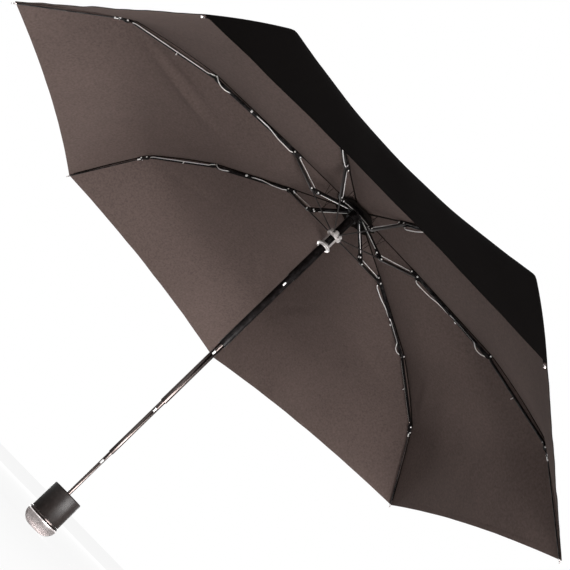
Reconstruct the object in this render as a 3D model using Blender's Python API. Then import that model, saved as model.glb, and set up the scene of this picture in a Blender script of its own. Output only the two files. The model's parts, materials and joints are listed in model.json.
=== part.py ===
"""A compact folding umbrella, standing open on its handle.

The shaft is five telescoping tubes.  Each of the seven ribs is a chain of thin links: a crown link
hung from the crown, a stretcher hung from the runner, and three rib lengths that fold like a Z.
Every link is drawn in its own frame (x along the link, y across it, z towards the canopy) with the
origin on the pin it turns on, and is then stood in its rib's plane.
Lengths are in metres; angles are in degrees above the horizontal, outwards.
"""

import math

import bmesh
import bpy
from mathutils import Matrix, Vector

MM = 0.001

# ---------------------------------------------------------------- fits shared by every piece
GAP = 0.3 * MM
SHEET = 0.5 * MM
PIN_RADIUS = 0.6 * MM
EYE_WALL = 0.9 * MM
RIVET_RADIUS = 1.0 * MM
RIVET_HEAD = 0.5 * MM
BLUNT_END = 0.6
WIRE_SIDES = 6
HOLE_RADIUS = PIN_RADIUS + GAP
EYE_RADIUS = HOLE_RADIUS + EYE_WALL

# ---------------------------------------------------------------- handle
HANDLE_RADIUS = 19.5 * MM
HANDLE_BODY_HEIGHT = 34.0 * MM
HANDLE_EDGE = 1.0 * MM
HANDLE_WALL = 2.2 * MM
DOME_OVERHANG = 1.3 * MM
DOME_RADIUS = HANDLE_RADIUS + DOME_OVERHANG
DOME_HEIGHT = 14.0 * MM
DOME_FLAT_RADIUS = 7.0 * MM
DOME_BAND_HEIGHT = 1.6 * MM
SPIGOT_HEIGHT = 7.0 * MM
RING_OVERHANG = 0.9 * MM
RING_RADIUS = HANDLE_RADIUS + RING_OVERHANG
RING_HEIGHT = 2.4 * MM
TUBE_SEAT_DEPTH = 26.0 * MM

# ---------------------------------------------------------------- shaft, from the top tube down
TUBE_RADII = [5.8 * MM, 5.0 * MM, 4.1 * MM, 3.1 * MM, 2.3 * MM]
TUBE_SHOWN = [128.0 * MM, 123.0 * MM, 97.0 * MM, 82.0 * MM, 63.0 * MM]
TUBE_OVERLAP = 18.0 * MM
SHAFT_BORE_RADIUS = 1.6 * MM
CATCH_DROP = 11.0 * MM
CATCH_HEIGHT = 5.0 * MM
CATCH_WIDTH = 2.0 * MM
CATCH_REACH = 0.9 * MM

# ---------------------------------------------------------------- ribs
RIB_COUNT = 7
FIRST_RIB_AZIMUTH = 90.0

CROWN_PIVOT_RADIUS = 10.4 * MM
CROWN_PIVOT_DROP = 3.6 * MM
CROWN_LINK_LENGTH = 60.5 * MM
CROWN_LINK_ANGLE = -25.5
CROWN_LINK_HALF_HEIGHT = 1.6 * MM
CROWN_LINK_FORK = 26.0 * MM

RUNNER_PIVOT_RADIUS = 8.6 * MM
RUNNER_PIVOT_DROP = 45.3 * MM
STRETCHER_OUTER_LENGTH = 50.0 * MM
STRETCHER_ROD_RADIUS = 0.9 * MM
STRETCHER_HALF_HEIGHT = 1.4 * MM

PARALLEL_RADIUS = 0.6 * MM
PARALLEL_OFFSET_AT_LINK = 10.65 * MM
PARALLEL_ANGLE_AT_LINK = 190.5
PARALLEL_OFFSET_AT_RIB = 10.0 * MM
PARALLEL_ANGLE_AT_RIB = 184.6

INNER_RIB_LENGTH = 133.1 * MM
INNER_RIB_ANGLE = -9.5
INNER_RIB_TOP = 2.8 * MM
INNER_RIB_BOTTOM = -0.4 * MM
INNER_RIB_PLATE_BOTTOM = -2.8 * MM
KNEE_RISE = 1.0 * MM

MIDDLE_RIB_LENGTH = 123.0 * MM
MIDDLE_RIB_ANGLE = -18.6
MIDDLE_RIB_DROP = 1.0 * MM
MIDDLE_RIB_HEIGHT = 2.6 * MM
HEEL_DROP = 0.9 * MM

OUTER_RIB_LENGTH = 129.9 * MM
OUTER_RIB_ANGLE = -47.1
OUTER_RIB_RISE = 1.8 * MM
OUTER_ROD_RADIUS = 0.85 * MM
BRACKET_LENGTH = 14.0 * MM
BRACKET_HEIGHT = 2.2 * MM
BEAD_RADIUS = 2.1 * MM

CONTROL_RADIUS = 0.6 * MM

# ---------------------------------------------------------------- crown, runner and cap
CROWN_LUG_RADIUS = 12.4 * MM
CROWN_HUB_RADIUS = 7.9 * MM
CROWN_FLANGE = 1.1 * MM
CROWN_HEIGHT = 14.0 * MM
CROWN_LUG_HEIGHT = 6.0 * MM
CROWN_RIVET_DROP = 9.6 * MM
RUNNER_LUG_RADIUS = 10.5 * MM
RUNNER_SLOT_HALF_WIDTH = 2.0 * MM
RUNNER_SLEEVE_RADIUS = 6.9 * MM
RUNNER_TOP = 3.0 * MM
RUNNER_RING_BOTTOM = -3.4 * MM
RUNNER_COLLAR_TOP = -20.8 * MM
RUNNER_COLLAR_HEIGHT = 2.4 * MM
RUNNER_COLLAR_RADIUS = 10.1 * MM
RUNNER_BOTTOM = -24.2 * MM
RUNNER_WINDOW_TOP = -5.5 * MM
RUNNER_WINDOW_HEIGHT = 13.0 * MM
RUNNER_WINDOW_WIDTH = 8.6 * MM
RUNNER_CATCH_HEIGHT = 8.0 * MM
CAP_RADIUS = 8.5 * MM
CAP_HEIGHT = 7.0 * MM
CAP_STEM_RADIUS = 2.6 * MM

# ---------------------------------------------------------------- canopy
CANOPY_THICKNESS = 0.5 * MM
CANOPY_LIFT = 1.4 * MM
CANOPY_HOLE_RADIUS = 4.0 * MM
CANOPY_SHOULDER_BULGE = 2.5 * MM
CANOPY_SKIRT_BULGE = 1.5 * MM
GORE_DIP = 15.0 * MM
RIM_SCALLOP = 8.0 * MM
GORE_STEPS = 4
SPAN_STEPS = 3

ROUND_SEGMENTS = 20
TUBE_SEGMENTS = 16
DOME_STEPS = 6
PIN_SIDES = 6


# ================================================================ shapes
def clear_scene():
    for thing in list(bpy.data.objects):
        bpy.data.objects.remove(thing, do_unlink=True)


def make_material(name, colour, metallic, roughness):
    made = bpy.data.materials.new(name)
    made.use_nodes = True
    shader = made.node_tree.nodes["Principled BSDF"]
    shader.inputs["Base Color"].default_value = (*colour, 1.0)
    shader.inputs["Metallic"].default_value = metallic
    shader.inputs["Roughness"].default_value = roughness
    return made


def mesh_from(bm, name, smooth_angle=None):
    bmesh.ops.recalc_face_normals(bm, faces=bm.faces)
    mesh = bpy.data.meshes.new(name)
    bm.to_mesh(mesh)
    bm.free()
    if smooth_angle is not None:
        mesh.shade_smooth()
        mesh.set_sharp_from_angle(angle=math.radians(smooth_angle))
    return mesh


def add_object(name, mesh, material, parent=None, matrix=None):
    thing = bpy.data.objects.new(name, mesh)
    bpy.context.scene.collection.objects.link(thing)
    if material and not mesh.materials:
        mesh.materials.append(material)
    thing.parent = parent
    if matrix is not None:
        thing.matrix_local = matrix
    return thing


def add_empty(name, parent=None, matrix=None):
    empty = bpy.data.objects.new(name, None)
    bpy.context.scene.collection.objects.link(empty)
    empty.parent = parent
    if matrix is not None:
        empty.matrix_local = matrix
    return empty


def turned(name, profile, segments=ROUND_SEGMENTS, closed=False):
    """A solid of revolution about Z.  An open profile starts and ends on the axis; a closed one
    is the outline of a ring's section."""
    bm = bmesh.new()
    points = [bm.verts.new((radius, 0.0, height)) for radius, height in profile]
    pairs = list(zip(points, points[1:]))
    if closed:
        pairs.append((points[-1], points[0]))
    edges = [bm.edges.new(pair) for pair in pairs]
    bmesh.ops.spin(bm, geom=points + edges, axis=(0, 0, 1), cent=(0, 0, 0),
                   steps=segments, angle=math.tau, use_merge=True)
    bmesh.ops.remove_doubles(bm, verts=bm.verts, dist=0.001 * MM)
    return mesh_from(bm, name, 35.0)


def block(low, high):
    """A box between two corners."""
    bm = bmesh.new()
    size = Vector(high) - Vector(low)
    middle = (Vector(high) + Vector(low)) / 2
    bmesh.ops.create_cube(bm, size=1.0, matrix=Matrix.Translation(middle) @ Matrix.Diagonal(size.to_4d()))
    return mesh_from(bm, "block")


def cross_pin(x, z, radius, half_width, sides=PIN_SIDES):
    """A round pin across a link, centred on (x, z)."""
    bm = bmesh.new()
    turn = Matrix.Rotation(math.radians(90), 4, "X") @ Matrix.Rotation(math.pi / sides, 4, "Z")
    bmesh.ops.create_cone(bm, cap_ends=True, segments=sides, radius1=radius, radius2=radius,
                          depth=2 * half_width, matrix=Matrix.Translation((x, 0, z)) @ turn)
    return mesh_from(bm, "pin")


def channel(stations, half_width, opens_up=False):
    """A bent-sheet channel: (x, bottom, top) at each station, with a web on its closed side."""
    bm = bmesh.new()
    rings = []
    inner = half_width - SHEET
    for x, bottom, top in stations:
        closed, mouth = (bottom, top) if opens_up else (top, bottom)
        web = closed + SHEET if opens_up else closed - SHEET
        section = [(-half_width, mouth), (-half_width, closed), (half_width, closed), (half_width, mouth),
                   (inner, mouth), (inner, web), (-inner, web), (-inner, mouth)]
        rings.append([bm.verts.new((x, y, z)) for y, z in section])
    count = len(rings[0])
    for near, far in zip(rings, rings[1:]):
        for i in range(count):
            j = (i + 1) % count
            bm.faces.new((near[i], near[j], far[j], far[i]))
    for ring in (rings[0], rings[-1]):
        for corners in ((0, 1, 6, 7), (1, 2, 5, 6), (2, 3, 4, 5)):
            bm.faces.new([ring[i] for i in corners])
    return mesh_from(bm, "channel")


def wire(path, radius, closed=False, sides=WIRE_SIDES):
    """Round wire swept along a polyline, mitred at its corners."""
    bm = bmesh.new()
    points = [Vector(point) for point in path]
    count = len(points)
    runs = [(points[(i + 1) % count] - points[i]).normalized() for i in range(count)]
    across = Vector((0, 0, 1)) if closed or abs(runs[0].y) > 0.7 else Vector((0, 1, 0))
    rings = []
    for i, point in enumerate(points):
        into = runs[i - 1] if closed or i > 0 else runs[i]
        out = runs[i] if closed or i < count - 1 else into
        along = (into + out).normalized()
        across = (across - along * across.dot(along)).normalized()
        up = along.cross(across)
        bend = out - into
        ring = []
        for step in range(sides):
            angle = math.tau * (step + 0.5) / sides
            offset = (across * math.cos(angle) + up * math.sin(angle)) * radius
            if bend.length > 1e-6:
                inward = bend.normalized()
                offset += inward * offset.dot(inward) * (1.0 / along.dot(into) - 1.0)
            ring.append(bm.verts.new(point + offset))
        rings.append(ring)
    pairs = list(zip(rings, rings[1:]))
    if closed:
        pairs.append((rings[-1], rings[0]))
    for near, far in pairs:
        for i in range(sides):
            j = (i + 1) % sides
            bm.faces.new((near[i], near[j], far[j], far[i]))
    if not closed:
        bm.faces.new(rings[0])
        bm.faces.new(rings[-1])
    return mesh_from(bm, "wire")


def ball(x, z, radius):
    bm = bmesh.new()
    bmesh.ops.create_uvsphere(bm, u_segments=8, v_segments=5, radius=radius,
                              matrix=Matrix.Translation((x, 0, z)))
    return mesh_from(bm, "ball")


def combined(name, base, steps, smooth_angle=35.0):
    """The base mesh after a list of ("UNION" or "DIFFERENCE", mesh) Boolean steps."""
    body = add_object(name + "_work", base, None)
    helpers = []
    for operation, mesh in steps:
        helper = add_object("helper", mesh, None)
        helper.hide_render = True
        helper.display_type = "WIRE"
        helpers.append(helper)
        step = body.modifiers.new(operation, "BOOLEAN")
        step.operation = operation
        step.object = helper
    graph = bpy.context.evaluated_depsgraph_get()
    made = bpy.data.meshes.new_from_object(body.evaluated_get(graph))
    made.name = name
    for thing in [body] + helpers:
        bpy.data.objects.remove(thing, do_unlink=True)
    made.materials.clear()
    made.shade_smooth()
    made.set_sharp_from_angle(angle=math.radians(smooth_angle))
    return made


# ================================================================ the rib's plane
def polar(length, angle):
    """(outward, up) of a length at an angle in degrees."""
    return Vector((length * math.cos(math.radians(angle)), length * math.sin(math.radians(angle))))


def angle_of(vector):
    return math.degrees(math.atan2(vector.y, vector.x))


handle_top = DOME_HEIGHT + RING_HEIGHT + 2 * GAP + HANDLE_BODY_HEIGHT
crown_top = handle_top + sum(TUBE_SHOWN)

crown_pivot = Vector((CROWN_PIVOT_RADIUS, crown_top - CROWN_PIVOT_DROP))
link_pin = crown_pivot + polar(CROWN_LINK_LENGTH, CROWN_LINK_ANGLE)
runner_pivot = Vector((RUNNER_PIVOT_RADIUS, crown_top - RUNNER_PIVOT_DROP))
stretcher_inner_length = (link_pin - runner_pivot).length
stretcher_angle = angle_of(link_pin - runner_pivot)
rib_pin = link_pin + polar(STRETCHER_OUTER_LENGTH, stretcher_angle)
parallel_link_end = link_pin + polar(PARALLEL_OFFSET_AT_LINK, PARALLEL_ANGLE_AT_LINK + CROWN_LINK_ANGLE)
parallel_rib_end = rib_pin + polar(PARALLEL_OFFSET_AT_RIB, PARALLEL_ANGLE_AT_RIB + INNER_RIB_ANGLE)
parallel_length = (parallel_link_end - parallel_rib_end).length
parallel_angle = angle_of(parallel_link_end - parallel_rib_end)
knee_height = INNER_RIB_TOP + KNEE_RISE
knee_pin = rib_pin + polar(INNER_RIB_LENGTH, INNER_RIB_ANGLE) + polar(knee_height, INNER_RIB_ANGLE + 90)
heel_depth = MIDDLE_RIB_DROP + MIDDLE_RIB_HEIGHT + HEEL_DROP
heel_pin = knee_pin + polar(MIDDLE_RIB_LENGTH, MIDDLE_RIB_ANGLE) + polar(heel_depth, MIDDLE_RIB_ANGLE - 90)
tip_point = heel_pin + polar(OUTER_RIB_LENGTH, OUTER_RIB_ANGLE) + polar(OUTER_RIB_RISE, OUTER_RIB_ANGLE + 90)

# Nested widths across a link, from the parallel bar outwards.
stretcher_half_width = PARALLEL_RADIUS + GAP + SHEET
fork_half_width = stretcher_half_width + GAP + SHEET
fork_inner = fork_half_width - SHEET
barrel_half_width = fork_inner - GAP
middle_half_width = fork_inner - GAP
rivet_half_width = fork_half_width + RIVET_HEAD
through_half_width = 2 * fork_half_width


def rib_azimuth(index):
    return math.radians(FIRST_RIB_AZIMUTH + index * 360.0 / RIB_COUNT)


# The catches and the runner's window line up on one side, between the second and third ribs.
catch_azimuth = rib_azimuth(1) + math.pi / RIB_COUNT


def link_matrix(pivot, angle):
    """A link's frame in its rib's plane: origin on the pin, x along the link."""
    return Matrix.Translation((pivot.x, 0, pivot.y)) @ Matrix.Rotation(-math.radians(angle), 4, "Y")


# ================================================================ rib links, each in its own frame
def crown_link_mesh():
    """Upward-opening channel hung from the crown, ending in a fork of two cheeks that straddle the
    stretcher.  The two rivets of the fork show as heads on the cheeks; nothing crosses the fork."""
    tall = CROWN_LINK_HALF_HEIGHT
    blunt = tall * BLUNT_END
    end = EYE_RADIUS
    offset = polar(PARALLEL_OFFSET_AT_LINK, PARALLEL_ANGLE_AT_LINK)
    ear_x = CROWN_LINK_LENGTH + offset.x
    ear_bottom = offset.y - EYE_RADIUS
    stations = [(-end, -blunt, blunt), (-end / 2, -tall, tall), (ear_x - 2.5 * end, -tall, tall),
                (ear_x - end, ear_bottom, tall), (ear_x + end, ear_bottom, tall),
                (CROWN_LINK_LENGTH, -tall, tall), (CROWN_LINK_LENGTH + end, -blunt, blunt)]
    base = channel(stations, fork_half_width, opens_up=True)
    fork = block((CROWN_LINK_LENGTH - CROWN_LINK_FORK, -fork_inner, 2 * ear_bottom),
                 (CROWN_LINK_LENGTH + 2 * end, fork_inner, 2 * tall))
    steps = [("UNION", cross_pin(ear_x, offset.y, RIVET_RADIUS, rivet_half_width)),
             ("UNION", cross_pin(CROWN_LINK_LENGTH, 0, RIVET_RADIUS, rivet_half_width)),
             ("DIFFERENCE", fork), ("DIFFERENCE", cross_pin(0, 0, HOLE_RADIUS, through_half_width))]
    return combined("crown_link", base, steps)


def stretcher_mesh():
    """Rod from the runner, turning into an upward-opening channel past the crown link's rivet."""
    length = stretcher_inner_length + STRETCHER_OUTER_LENGTH
    start = stretcher_inner_length - 2 * EYE_RADIUS
    tall = STRETCHER_HALF_HEIGHT
    blunt = tall * BLUNT_END
    nose = HOLE_RADIUS + SHEET
    base = channel([(start, -blunt, blunt), (start + EYE_RADIUS, -tall, tall),
                    (length, -tall, tall), (length + nose, -blunt, blunt)],
                   stretcher_half_width, opens_up=True)
    rod = wire([(0, 0, 0), (start + EYE_RADIUS, 0, 0)], STRETCHER_ROD_RADIUS)
    eye = cross_pin(0, 0, nose, STRETCHER_ROD_RADIUS)
    plug = block((start, -stretcher_half_width + SHEET / 2, -blunt),
                 (start + EYE_RADIUS, stretcher_half_width - SHEET / 2, blunt))
    steps = [("UNION", plug), ("UNION", rod), ("UNION", eye),
             ("DIFFERENCE", cross_pin(0, 0, HOLE_RADIUS, 2 * EYE_RADIUS)),
             ("DIFFERENCE", cross_pin(length, 0, HOLE_RADIUS, through_half_width))]
    return combined("stretcher", base, steps)


def parallel_bar_mesh():
    """Wire bar with a barrel at each end, carried on the inner rib."""
    barrel = HOLE_RADIUS + SHEET
    base = wire([(0, 0, 0), (parallel_length, 0, 0)], PARALLEL_RADIUS)
    steps = []
    for x in (0, parallel_length):
        steps.append(("UNION", cross_pin(x, 0, barrel, barrel_half_width)))
    for x in (0, parallel_length):
        steps.append(("DIFFERENCE", cross_pin(x, 0, HOLE_RADIUS, through_half_width)))
    return combined("parallel_bar", base, steps)


def inner_rib_mesh():
    """Channel with a riveted plate at the stretcher, and ears that carry the knee pin."""
    offset = polar(PARALLEL_OFFSET_AT_RIB, PARALLEL_ANGLE_AT_RIB)
    plate_start = offset.x - EYE_RADIUS
    top = INNER_RIB_TOP
    low = INNER_RIB_PLATE_BOTTOM
    stations = [(plate_start, low, top * 0.7), (plate_start + EYE_RADIUS, low, top),
                (EYE_RADIUS, low, top), (3 * EYE_RADIUS, INNER_RIB_BOTTOM, top),
                (INNER_RIB_LENGTH - 2 * EYE_RADIUS, INNER_RIB_BOTTOM, top),
                (INNER_RIB_LENGTH - EYE_RADIUS, INNER_RIB_BOTTOM, knee_height + EYE_RADIUS),
                (INNER_RIB_LENGTH + EYE_RADIUS, top * 0.6, knee_height + EYE_RADIUS)]
    base = channel(stations, fork_half_width)
    knee_room = block((INNER_RIB_LENGTH - 4 * EYE_RADIUS, -fork_inner, INNER_RIB_BOTTOM - GAP),
                      (INNER_RIB_LENGTH + 4 * EYE_RADIUS, fork_inner, knee_height + 4 * EYE_RADIUS))
    plate_room = block((plate_start - EYE_RADIUS, -fork_inner, 0),
                       (offset.x + 2 * EYE_RADIUS, fork_inner, 2 * top))
    steps = [("DIFFERENCE", knee_room), ("DIFFERENCE", plate_room),
             ("UNION", cross_pin(0, 0, PIN_RADIUS, rivet_half_width)),
             ("UNION", cross_pin(offset.x, offset.y, PIN_RADIUS, rivet_half_width)),
             ("UNION", cross_pin(INNER_RIB_LENGTH, knee_height, PIN_RADIUS, rivet_half_width))]
    steps += [("UNION", mesh) for mesh in control_rod_meshes()]
    return combined("inner_rib", base, steps)


def control_rod_meshes():
    """The cranked wire beside the inner rib, its two bent ends and its guide, as one run."""
    beside = fork_half_width + GAP + CONTROL_RADIUS
    inside = fork_half_width - SHEET / 2
    low = INNER_RIB_PLATE_BOTTOM
    mid = (INNER_RIB_TOP + INNER_RIB_BOTTOM) / 2
    length = INNER_RIB_LENGTH
    hook = 2.6 * MM
    path = [(0.03 * length, inside, low + EYE_RADIUS), (0.03 * length, beside, low + EYE_RADIUS),
            (0.23 * length, beside, low + EYE_RADIUS - 0.3 * MM), (0.50 * length, beside, mid),
            (0.74 * length, beside, mid), (0.80 * length, beside, mid - hook),
            (0.88 * length, beside, mid - hook), (0.93 * length, beside, mid), (0.93 * length, inside, mid)]
    guide = block((0.53 * length, inside, mid - 2 * CONTROL_RADIUS),
                  (0.56 * length, beside + CONTROL_RADIUS, mid + 2 * CONTROL_RADIUS))
    return [wire(path, CONTROL_RADIUS), guide]


def middle_rib_mesh():
    """Channel hung below the knee pin, with ears that carry the heel pin under its far end."""
    top = -MIDDLE_RIB_DROP
    bottom = top - MIDDLE_RIB_HEIGHT
    length = MIDDLE_RIB_LENGTH
    start = 2 * EYE_RADIUS
    stations = [(-EYE_RADIUS, top, EYE_RADIUS), (EYE_RADIUS, bottom * 0.7, EYE_RADIUS), (start, bottom, top),
                (length - 2 * EYE_RADIUS, bottom, top), (length - EYE_RADIUS, -heel_depth - EYE_RADIUS, top),
                (length + EYE_RADIUS, -heel_depth - EYE_RADIUS, -heel_depth + EYE_RADIUS)]
    base = channel(stations, middle_half_width)
    inner = middle_half_width - SHEET
    neck_room = block((-2 * EYE_RADIUS, -inner, 0), (start, inner, 2 * EYE_RADIUS))
    heel_room = block((length - 2 * EYE_RADIUS, -inner, -2 * heel_depth), (length + 2 * EYE_RADIUS, inner, 0))
    steps = [("DIFFERENCE", neck_room), ("DIFFERENCE", heel_room),
             ("DIFFERENCE", cross_pin(0, 0, HOLE_RADIUS, through_half_width)),
             ("DIFFERENCE", cross_pin(length, -heel_depth, HOLE_RADIUS, through_half_width))]
    return combined("middle_rib", base, steps)


def outer_rib_mesh():
    """Forked bracket on the heel pin, a thin rod and the tip bead."""
    centre = OUTER_RIB_RISE
    top = centre + BRACKET_HEIGHT / 2
    bottom = centre - BRACKET_HEIGHT / 2
    stations = [(-EYE_RADIUS, -EYE_RADIUS, EYE_RADIUS), (EYE_RADIUS, -EYE_RADIUS, top),
                (3 * EYE_RADIUS, bottom, top), (BRACKET_LENGTH, bottom, top)]
    base = channel(stations, fork_half_width)
    room = block((-2 * EYE_RADIUS, -fork_inner, 0), (2.5 * EYE_RADIUS, fork_inner, 3 * top))
    plug = block((BRACKET_LENGTH - 2 * EYE_RADIUS, -fork_inner - SHEET / 2, bottom),
                 (BRACKET_LENGTH, fork_inner + SHEET / 2, top - SHEET / 2))
    rod = wire([(BRACKET_LENGTH - EYE_RADIUS, 0, centre), (OUTER_RIB_LENGTH, 0, centre)], OUTER_ROD_RADIUS)
    steps = [("DIFFERENCE", room), ("UNION", plug), ("UNION", rod),
             ("UNION", ball(OUTER_RIB_LENGTH, centre, BEAD_RADIUS)),
             ("UNION", cross_pin(0, 0, PIN_RADIUS, rivet_half_width))]
    return combined("outer_rib", base, steps)


# ================================================================ shaft, crown, runner and handle
def pin_ring(radius, height):
    """Seven-sided wire ring: each side is the pin that one rib's link turns on."""
    corner = radius / math.cos(math.pi / RIB_COUNT)
    half = math.pi / RIB_COUNT
    path = []
    for index in range(RIB_COUNT):
        angle = rib_azimuth(index) + half
        path.append((corner * math.cos(angle), corner * math.sin(angle), height))
    return wire(path, PIN_RADIUS, closed=True)


def slot_cutters(inner, outer, half_width, bottom, top):
    cutters = []
    for index in range(RIB_COUNT):
        mesh = block((inner, -half_width, bottom), (outer, half_width, top))
        mesh.transform(Matrix.Rotation(rib_azimuth(index), 4, "Z"))
        cutters.append(("DIFFERENCE", mesh))
    return cutters


def crown_mesh():
    """Notched hub in its own frame, z = 0 at its top face."""
    bore = TUBE_RADII[0] + GAP
    lug_bottom = -CROWN_LUG_HEIGHT
    hub = turned("crown", [
        (CAP_STEM_RADIUS + GAP, 0), (CAP_STEM_RADIUS + GAP, -CROWN_FLANGE), (bore, -CROWN_FLANGE),
        (bore, -CROWN_HEIGHT), (CROWN_HUB_RADIUS - SHEET, -CROWN_HEIGHT),
        (CROWN_HUB_RADIUS, -CROWN_HEIGHT + SHEET), (CROWN_HUB_RADIUS, lug_bottom),
        (CROWN_LUG_RADIUS - SHEET, lug_bottom), (CROWN_LUG_RADIUS, lug_bottom + SHEET),
        (CROWN_LUG_RADIUS, -SHEET), (CROWN_LUG_RADIUS - SHEET, 0)], closed=True)
    cuts = slot_cutters(CROWN_HUB_RADIUS, 2 * CROWN_LUG_RADIUS, fork_half_width + GAP,
                        -2 * CROWN_LUG_HEIGHT, -CROWN_FLANGE)
    rivet = cross_pin(0, 0, RIVET_RADIUS, RIVET_HEAD + SHEET)
    rivet.transform(Matrix.Rotation(catch_azimuth, 4, "Z") @ Matrix.Translation((CROWN_HUB_RADIUS, 0, 0))
                    @ Matrix.Rotation(math.pi / 2, 4, "Z"))
    rivet.transform(Matrix.Translation((0, 0, -CROWN_RIVET_DROP)))
    return combined("crown", hub, cuts + [("UNION", pin_ring(CROWN_PIVOT_RADIUS, -CROWN_PIVOT_DROP)),
                                          ("UNION", rivet)])


def runner_mesh():
    """Sliding runner in its own frame, z = 0 at its pin ring."""
    bore = TUBE_RADII[0] + GAP
    sleeve = RUNNER_SLEEVE_RADIUS
    collar_bottom = RUNNER_COLLAR_TOP - RUNNER_COLLAR_HEIGHT
    body = turned("runner", [
        (bore, RUNNER_TOP), (bore, RUNNER_BOTTOM), (sleeve - SHEET, RUNNER_BOTTOM),
        (sleeve, RUNNER_BOTTOM + SHEET), (sleeve, collar_bottom), (RUNNER_COLLAR_RADIUS - SHEET, collar_bottom),
        (RUNNER_COLLAR_RADIUS, collar_bottom + SHEET), (RUNNER_COLLAR_RADIUS, RUNNER_COLLAR_TOP - SHEET),
        (RUNNER_COLLAR_RADIUS - SHEET, RUNNER_COLLAR_TOP), (sleeve, RUNNER_COLLAR_TOP),
        (sleeve, RUNNER_RING_BOTTOM - 2 * SHEET), (RUNNER_LUG_RADIUS - SHEET, RUNNER_RING_BOTTOM),
        (RUNNER_LUG_RADIUS, RUNNER_RING_BOTTOM + SHEET), (RUNNER_LUG_RADIUS, RUNNER_TOP - 2 * SHEET),
        (RUNNER_LUG_RADIUS - 2 * SHEET, RUNNER_TOP)], closed=True)
    cuts = slot_cutters(sleeve, 2 * RUNNER_LUG_RADIUS, RUNNER_SLOT_HALF_WIDTH, 2 * RUNNER_RING_BOTTOM,
                        2 * RUNNER_TOP)
    window = block((0, -RUNNER_WINDOW_WIDTH / 2, RUNNER_WINDOW_TOP - RUNNER_WINDOW_HEIGHT),
                   (2 * sleeve, RUNNER_WINDOW_WIDTH / 2, RUNNER_WINDOW_TOP))
    window.transform(Matrix.Rotation(catch_azimuth, 4, "Z"))
    return combined("runner", body, cuts + [("DIFFERENCE", window),
                                            ("UNION", pin_ring(RUNNER_PIVOT_RADIUS, 0))])


def tooth_mesh(inner, outer, height, width):
    """Spring catch tooth: flat on top, where it holds, and sloped below.  z = 0 at its top."""
    bm = bmesh.new()
    side = [(inner, 0), (outer, 0), (outer, -0.25 * height), (inner + 0.2 * (outer - inner), -height),
            (inner, -height)]
    left = [bm.verts.new((x, -width / 2, z)) for x, z in side]
    right = [bm.verts.new((x, width / 2, z)) for x, z in side]
    bm.faces.new(left)
    bm.faces.new(right)
    for i in range(len(side)):
        j = (i + 1) % len(side)
        bm.faces.new((left[i], left[j], right[j], right[i]))
    return mesh_from(bm, "tooth")


def tube_bore(index):
    if index + 1 < len(TUBE_RADII):
        return TUBE_RADII[index + 1] + GAP
    return SHAFT_BORE_RADIUS


def tube_mesh(index, bottom, top, slot_top, slot_height):
    """One shaft tube, with a slot for the catch that stands in its wall."""
    radius = TUBE_RADII[index]
    bore = tube_bore(index)
    lip = (radius - bore) / 2
    ring = turned(f"tube_{index + 1}", [
        (bore, top), (bore, bottom), (radius - lip, bottom), (radius, bottom + lip),
        (radius, top - lip), (radius - lip, top)], segments=TUBE_SEGMENTS, closed=True)
    slot = block((0, -CATCH_WIDTH / 2 - GAP, slot_top - slot_height - GAP),
                 (2 * radius, CATCH_WIDTH / 2 + GAP, slot_top + GAP))
    slot.transform(Matrix.Rotation(catch_azimuth, 4, "Z"))
    return combined(f"tube_{index + 1}", ring, [("DIFFERENCE", slot)])


def dome_profile():
    """Half section of the end cap: flat foot, quarter curve, band and spigot."""
    rise = DOME_HEIGHT - DOME_BAND_HEIGHT
    points = [(0, 0)]
    for step in range(DOME_STEPS + 1):
        turn = math.radians(90 * step / DOME_STEPS)
        points.append((DOME_FLAT_RADIUS + (DOME_RADIUS - DOME_FLAT_RADIUS) * math.sin(turn),
                       rise * (1 - math.cos(turn))))
    spigot = HANDLE_RADIUS - HANDLE_WALL - GAP
    points += [(DOME_RADIUS, DOME_HEIGHT - SHEET), (DOME_RADIUS - SHEET, DOME_HEIGHT),
               (spigot, DOME_HEIGHT), (spigot, DOME_HEIGHT + SPIGOT_HEIGHT), (0, DOME_HEIGHT + SPIGOT_HEIGHT)]
    return points


def handle_body_profile(bottom, top):
    """Half section of the grip: open below for the cap's spigot, bored above for the shaft."""
    bore = TUBE_RADII[-1] + GAP
    socket = HANDLE_RADIUS - HANDLE_WALL
    socket_top = DOME_HEIGHT + SPIGOT_HEIGHT + GAP
    return [(0, socket_top), (socket, socket_top), (socket, bottom), (HANDLE_RADIUS, bottom),
            (HANDLE_RADIUS, top - HANDLE_EDGE), (HANDLE_RADIUS - HANDLE_EDGE, top), (bore, top),
            (bore, top - TUBE_SEAT_DEPTH), (0, top - TUBE_SEAT_DEPTH)]


# ================================================================ canopy
def canopy_spans():
    """Underside of the canopy along a rib as spans of (start, end, bulge), crown to tip."""
    lift = CANOPY_LIFT
    crown_edge = Vector((CROWN_LUG_RADIUS + GAP, crown_top + GAP))
    plate_top = rib_pin + polar(INNER_RIB_TOP + lift, INNER_RIB_ANGLE + 90)
    knee_top = knee_pin + polar(EYE_RADIUS + lift, INNER_RIB_ANGLE + 90)
    heel_normal = (MIDDLE_RIB_ANGLE + OUTER_RIB_ANGLE) / 2 + 90
    heel_top = heel_pin + polar(heel_depth + lift, heel_normal)
    rim = tip_point + polar(OUTER_ROD_RADIUS + lift, OUTER_RIB_ANGLE + 90) - polar(BEAD_RADIUS, OUTER_RIB_ANGLE)
    return [(crown_edge, plate_top, 0.0), (plate_top, knee_top, 0.0),
            (knee_top, heel_top, CANOPY_SHOULDER_BULGE), (heel_top, rim, CANOPY_SKIRT_BULGE)]


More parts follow.
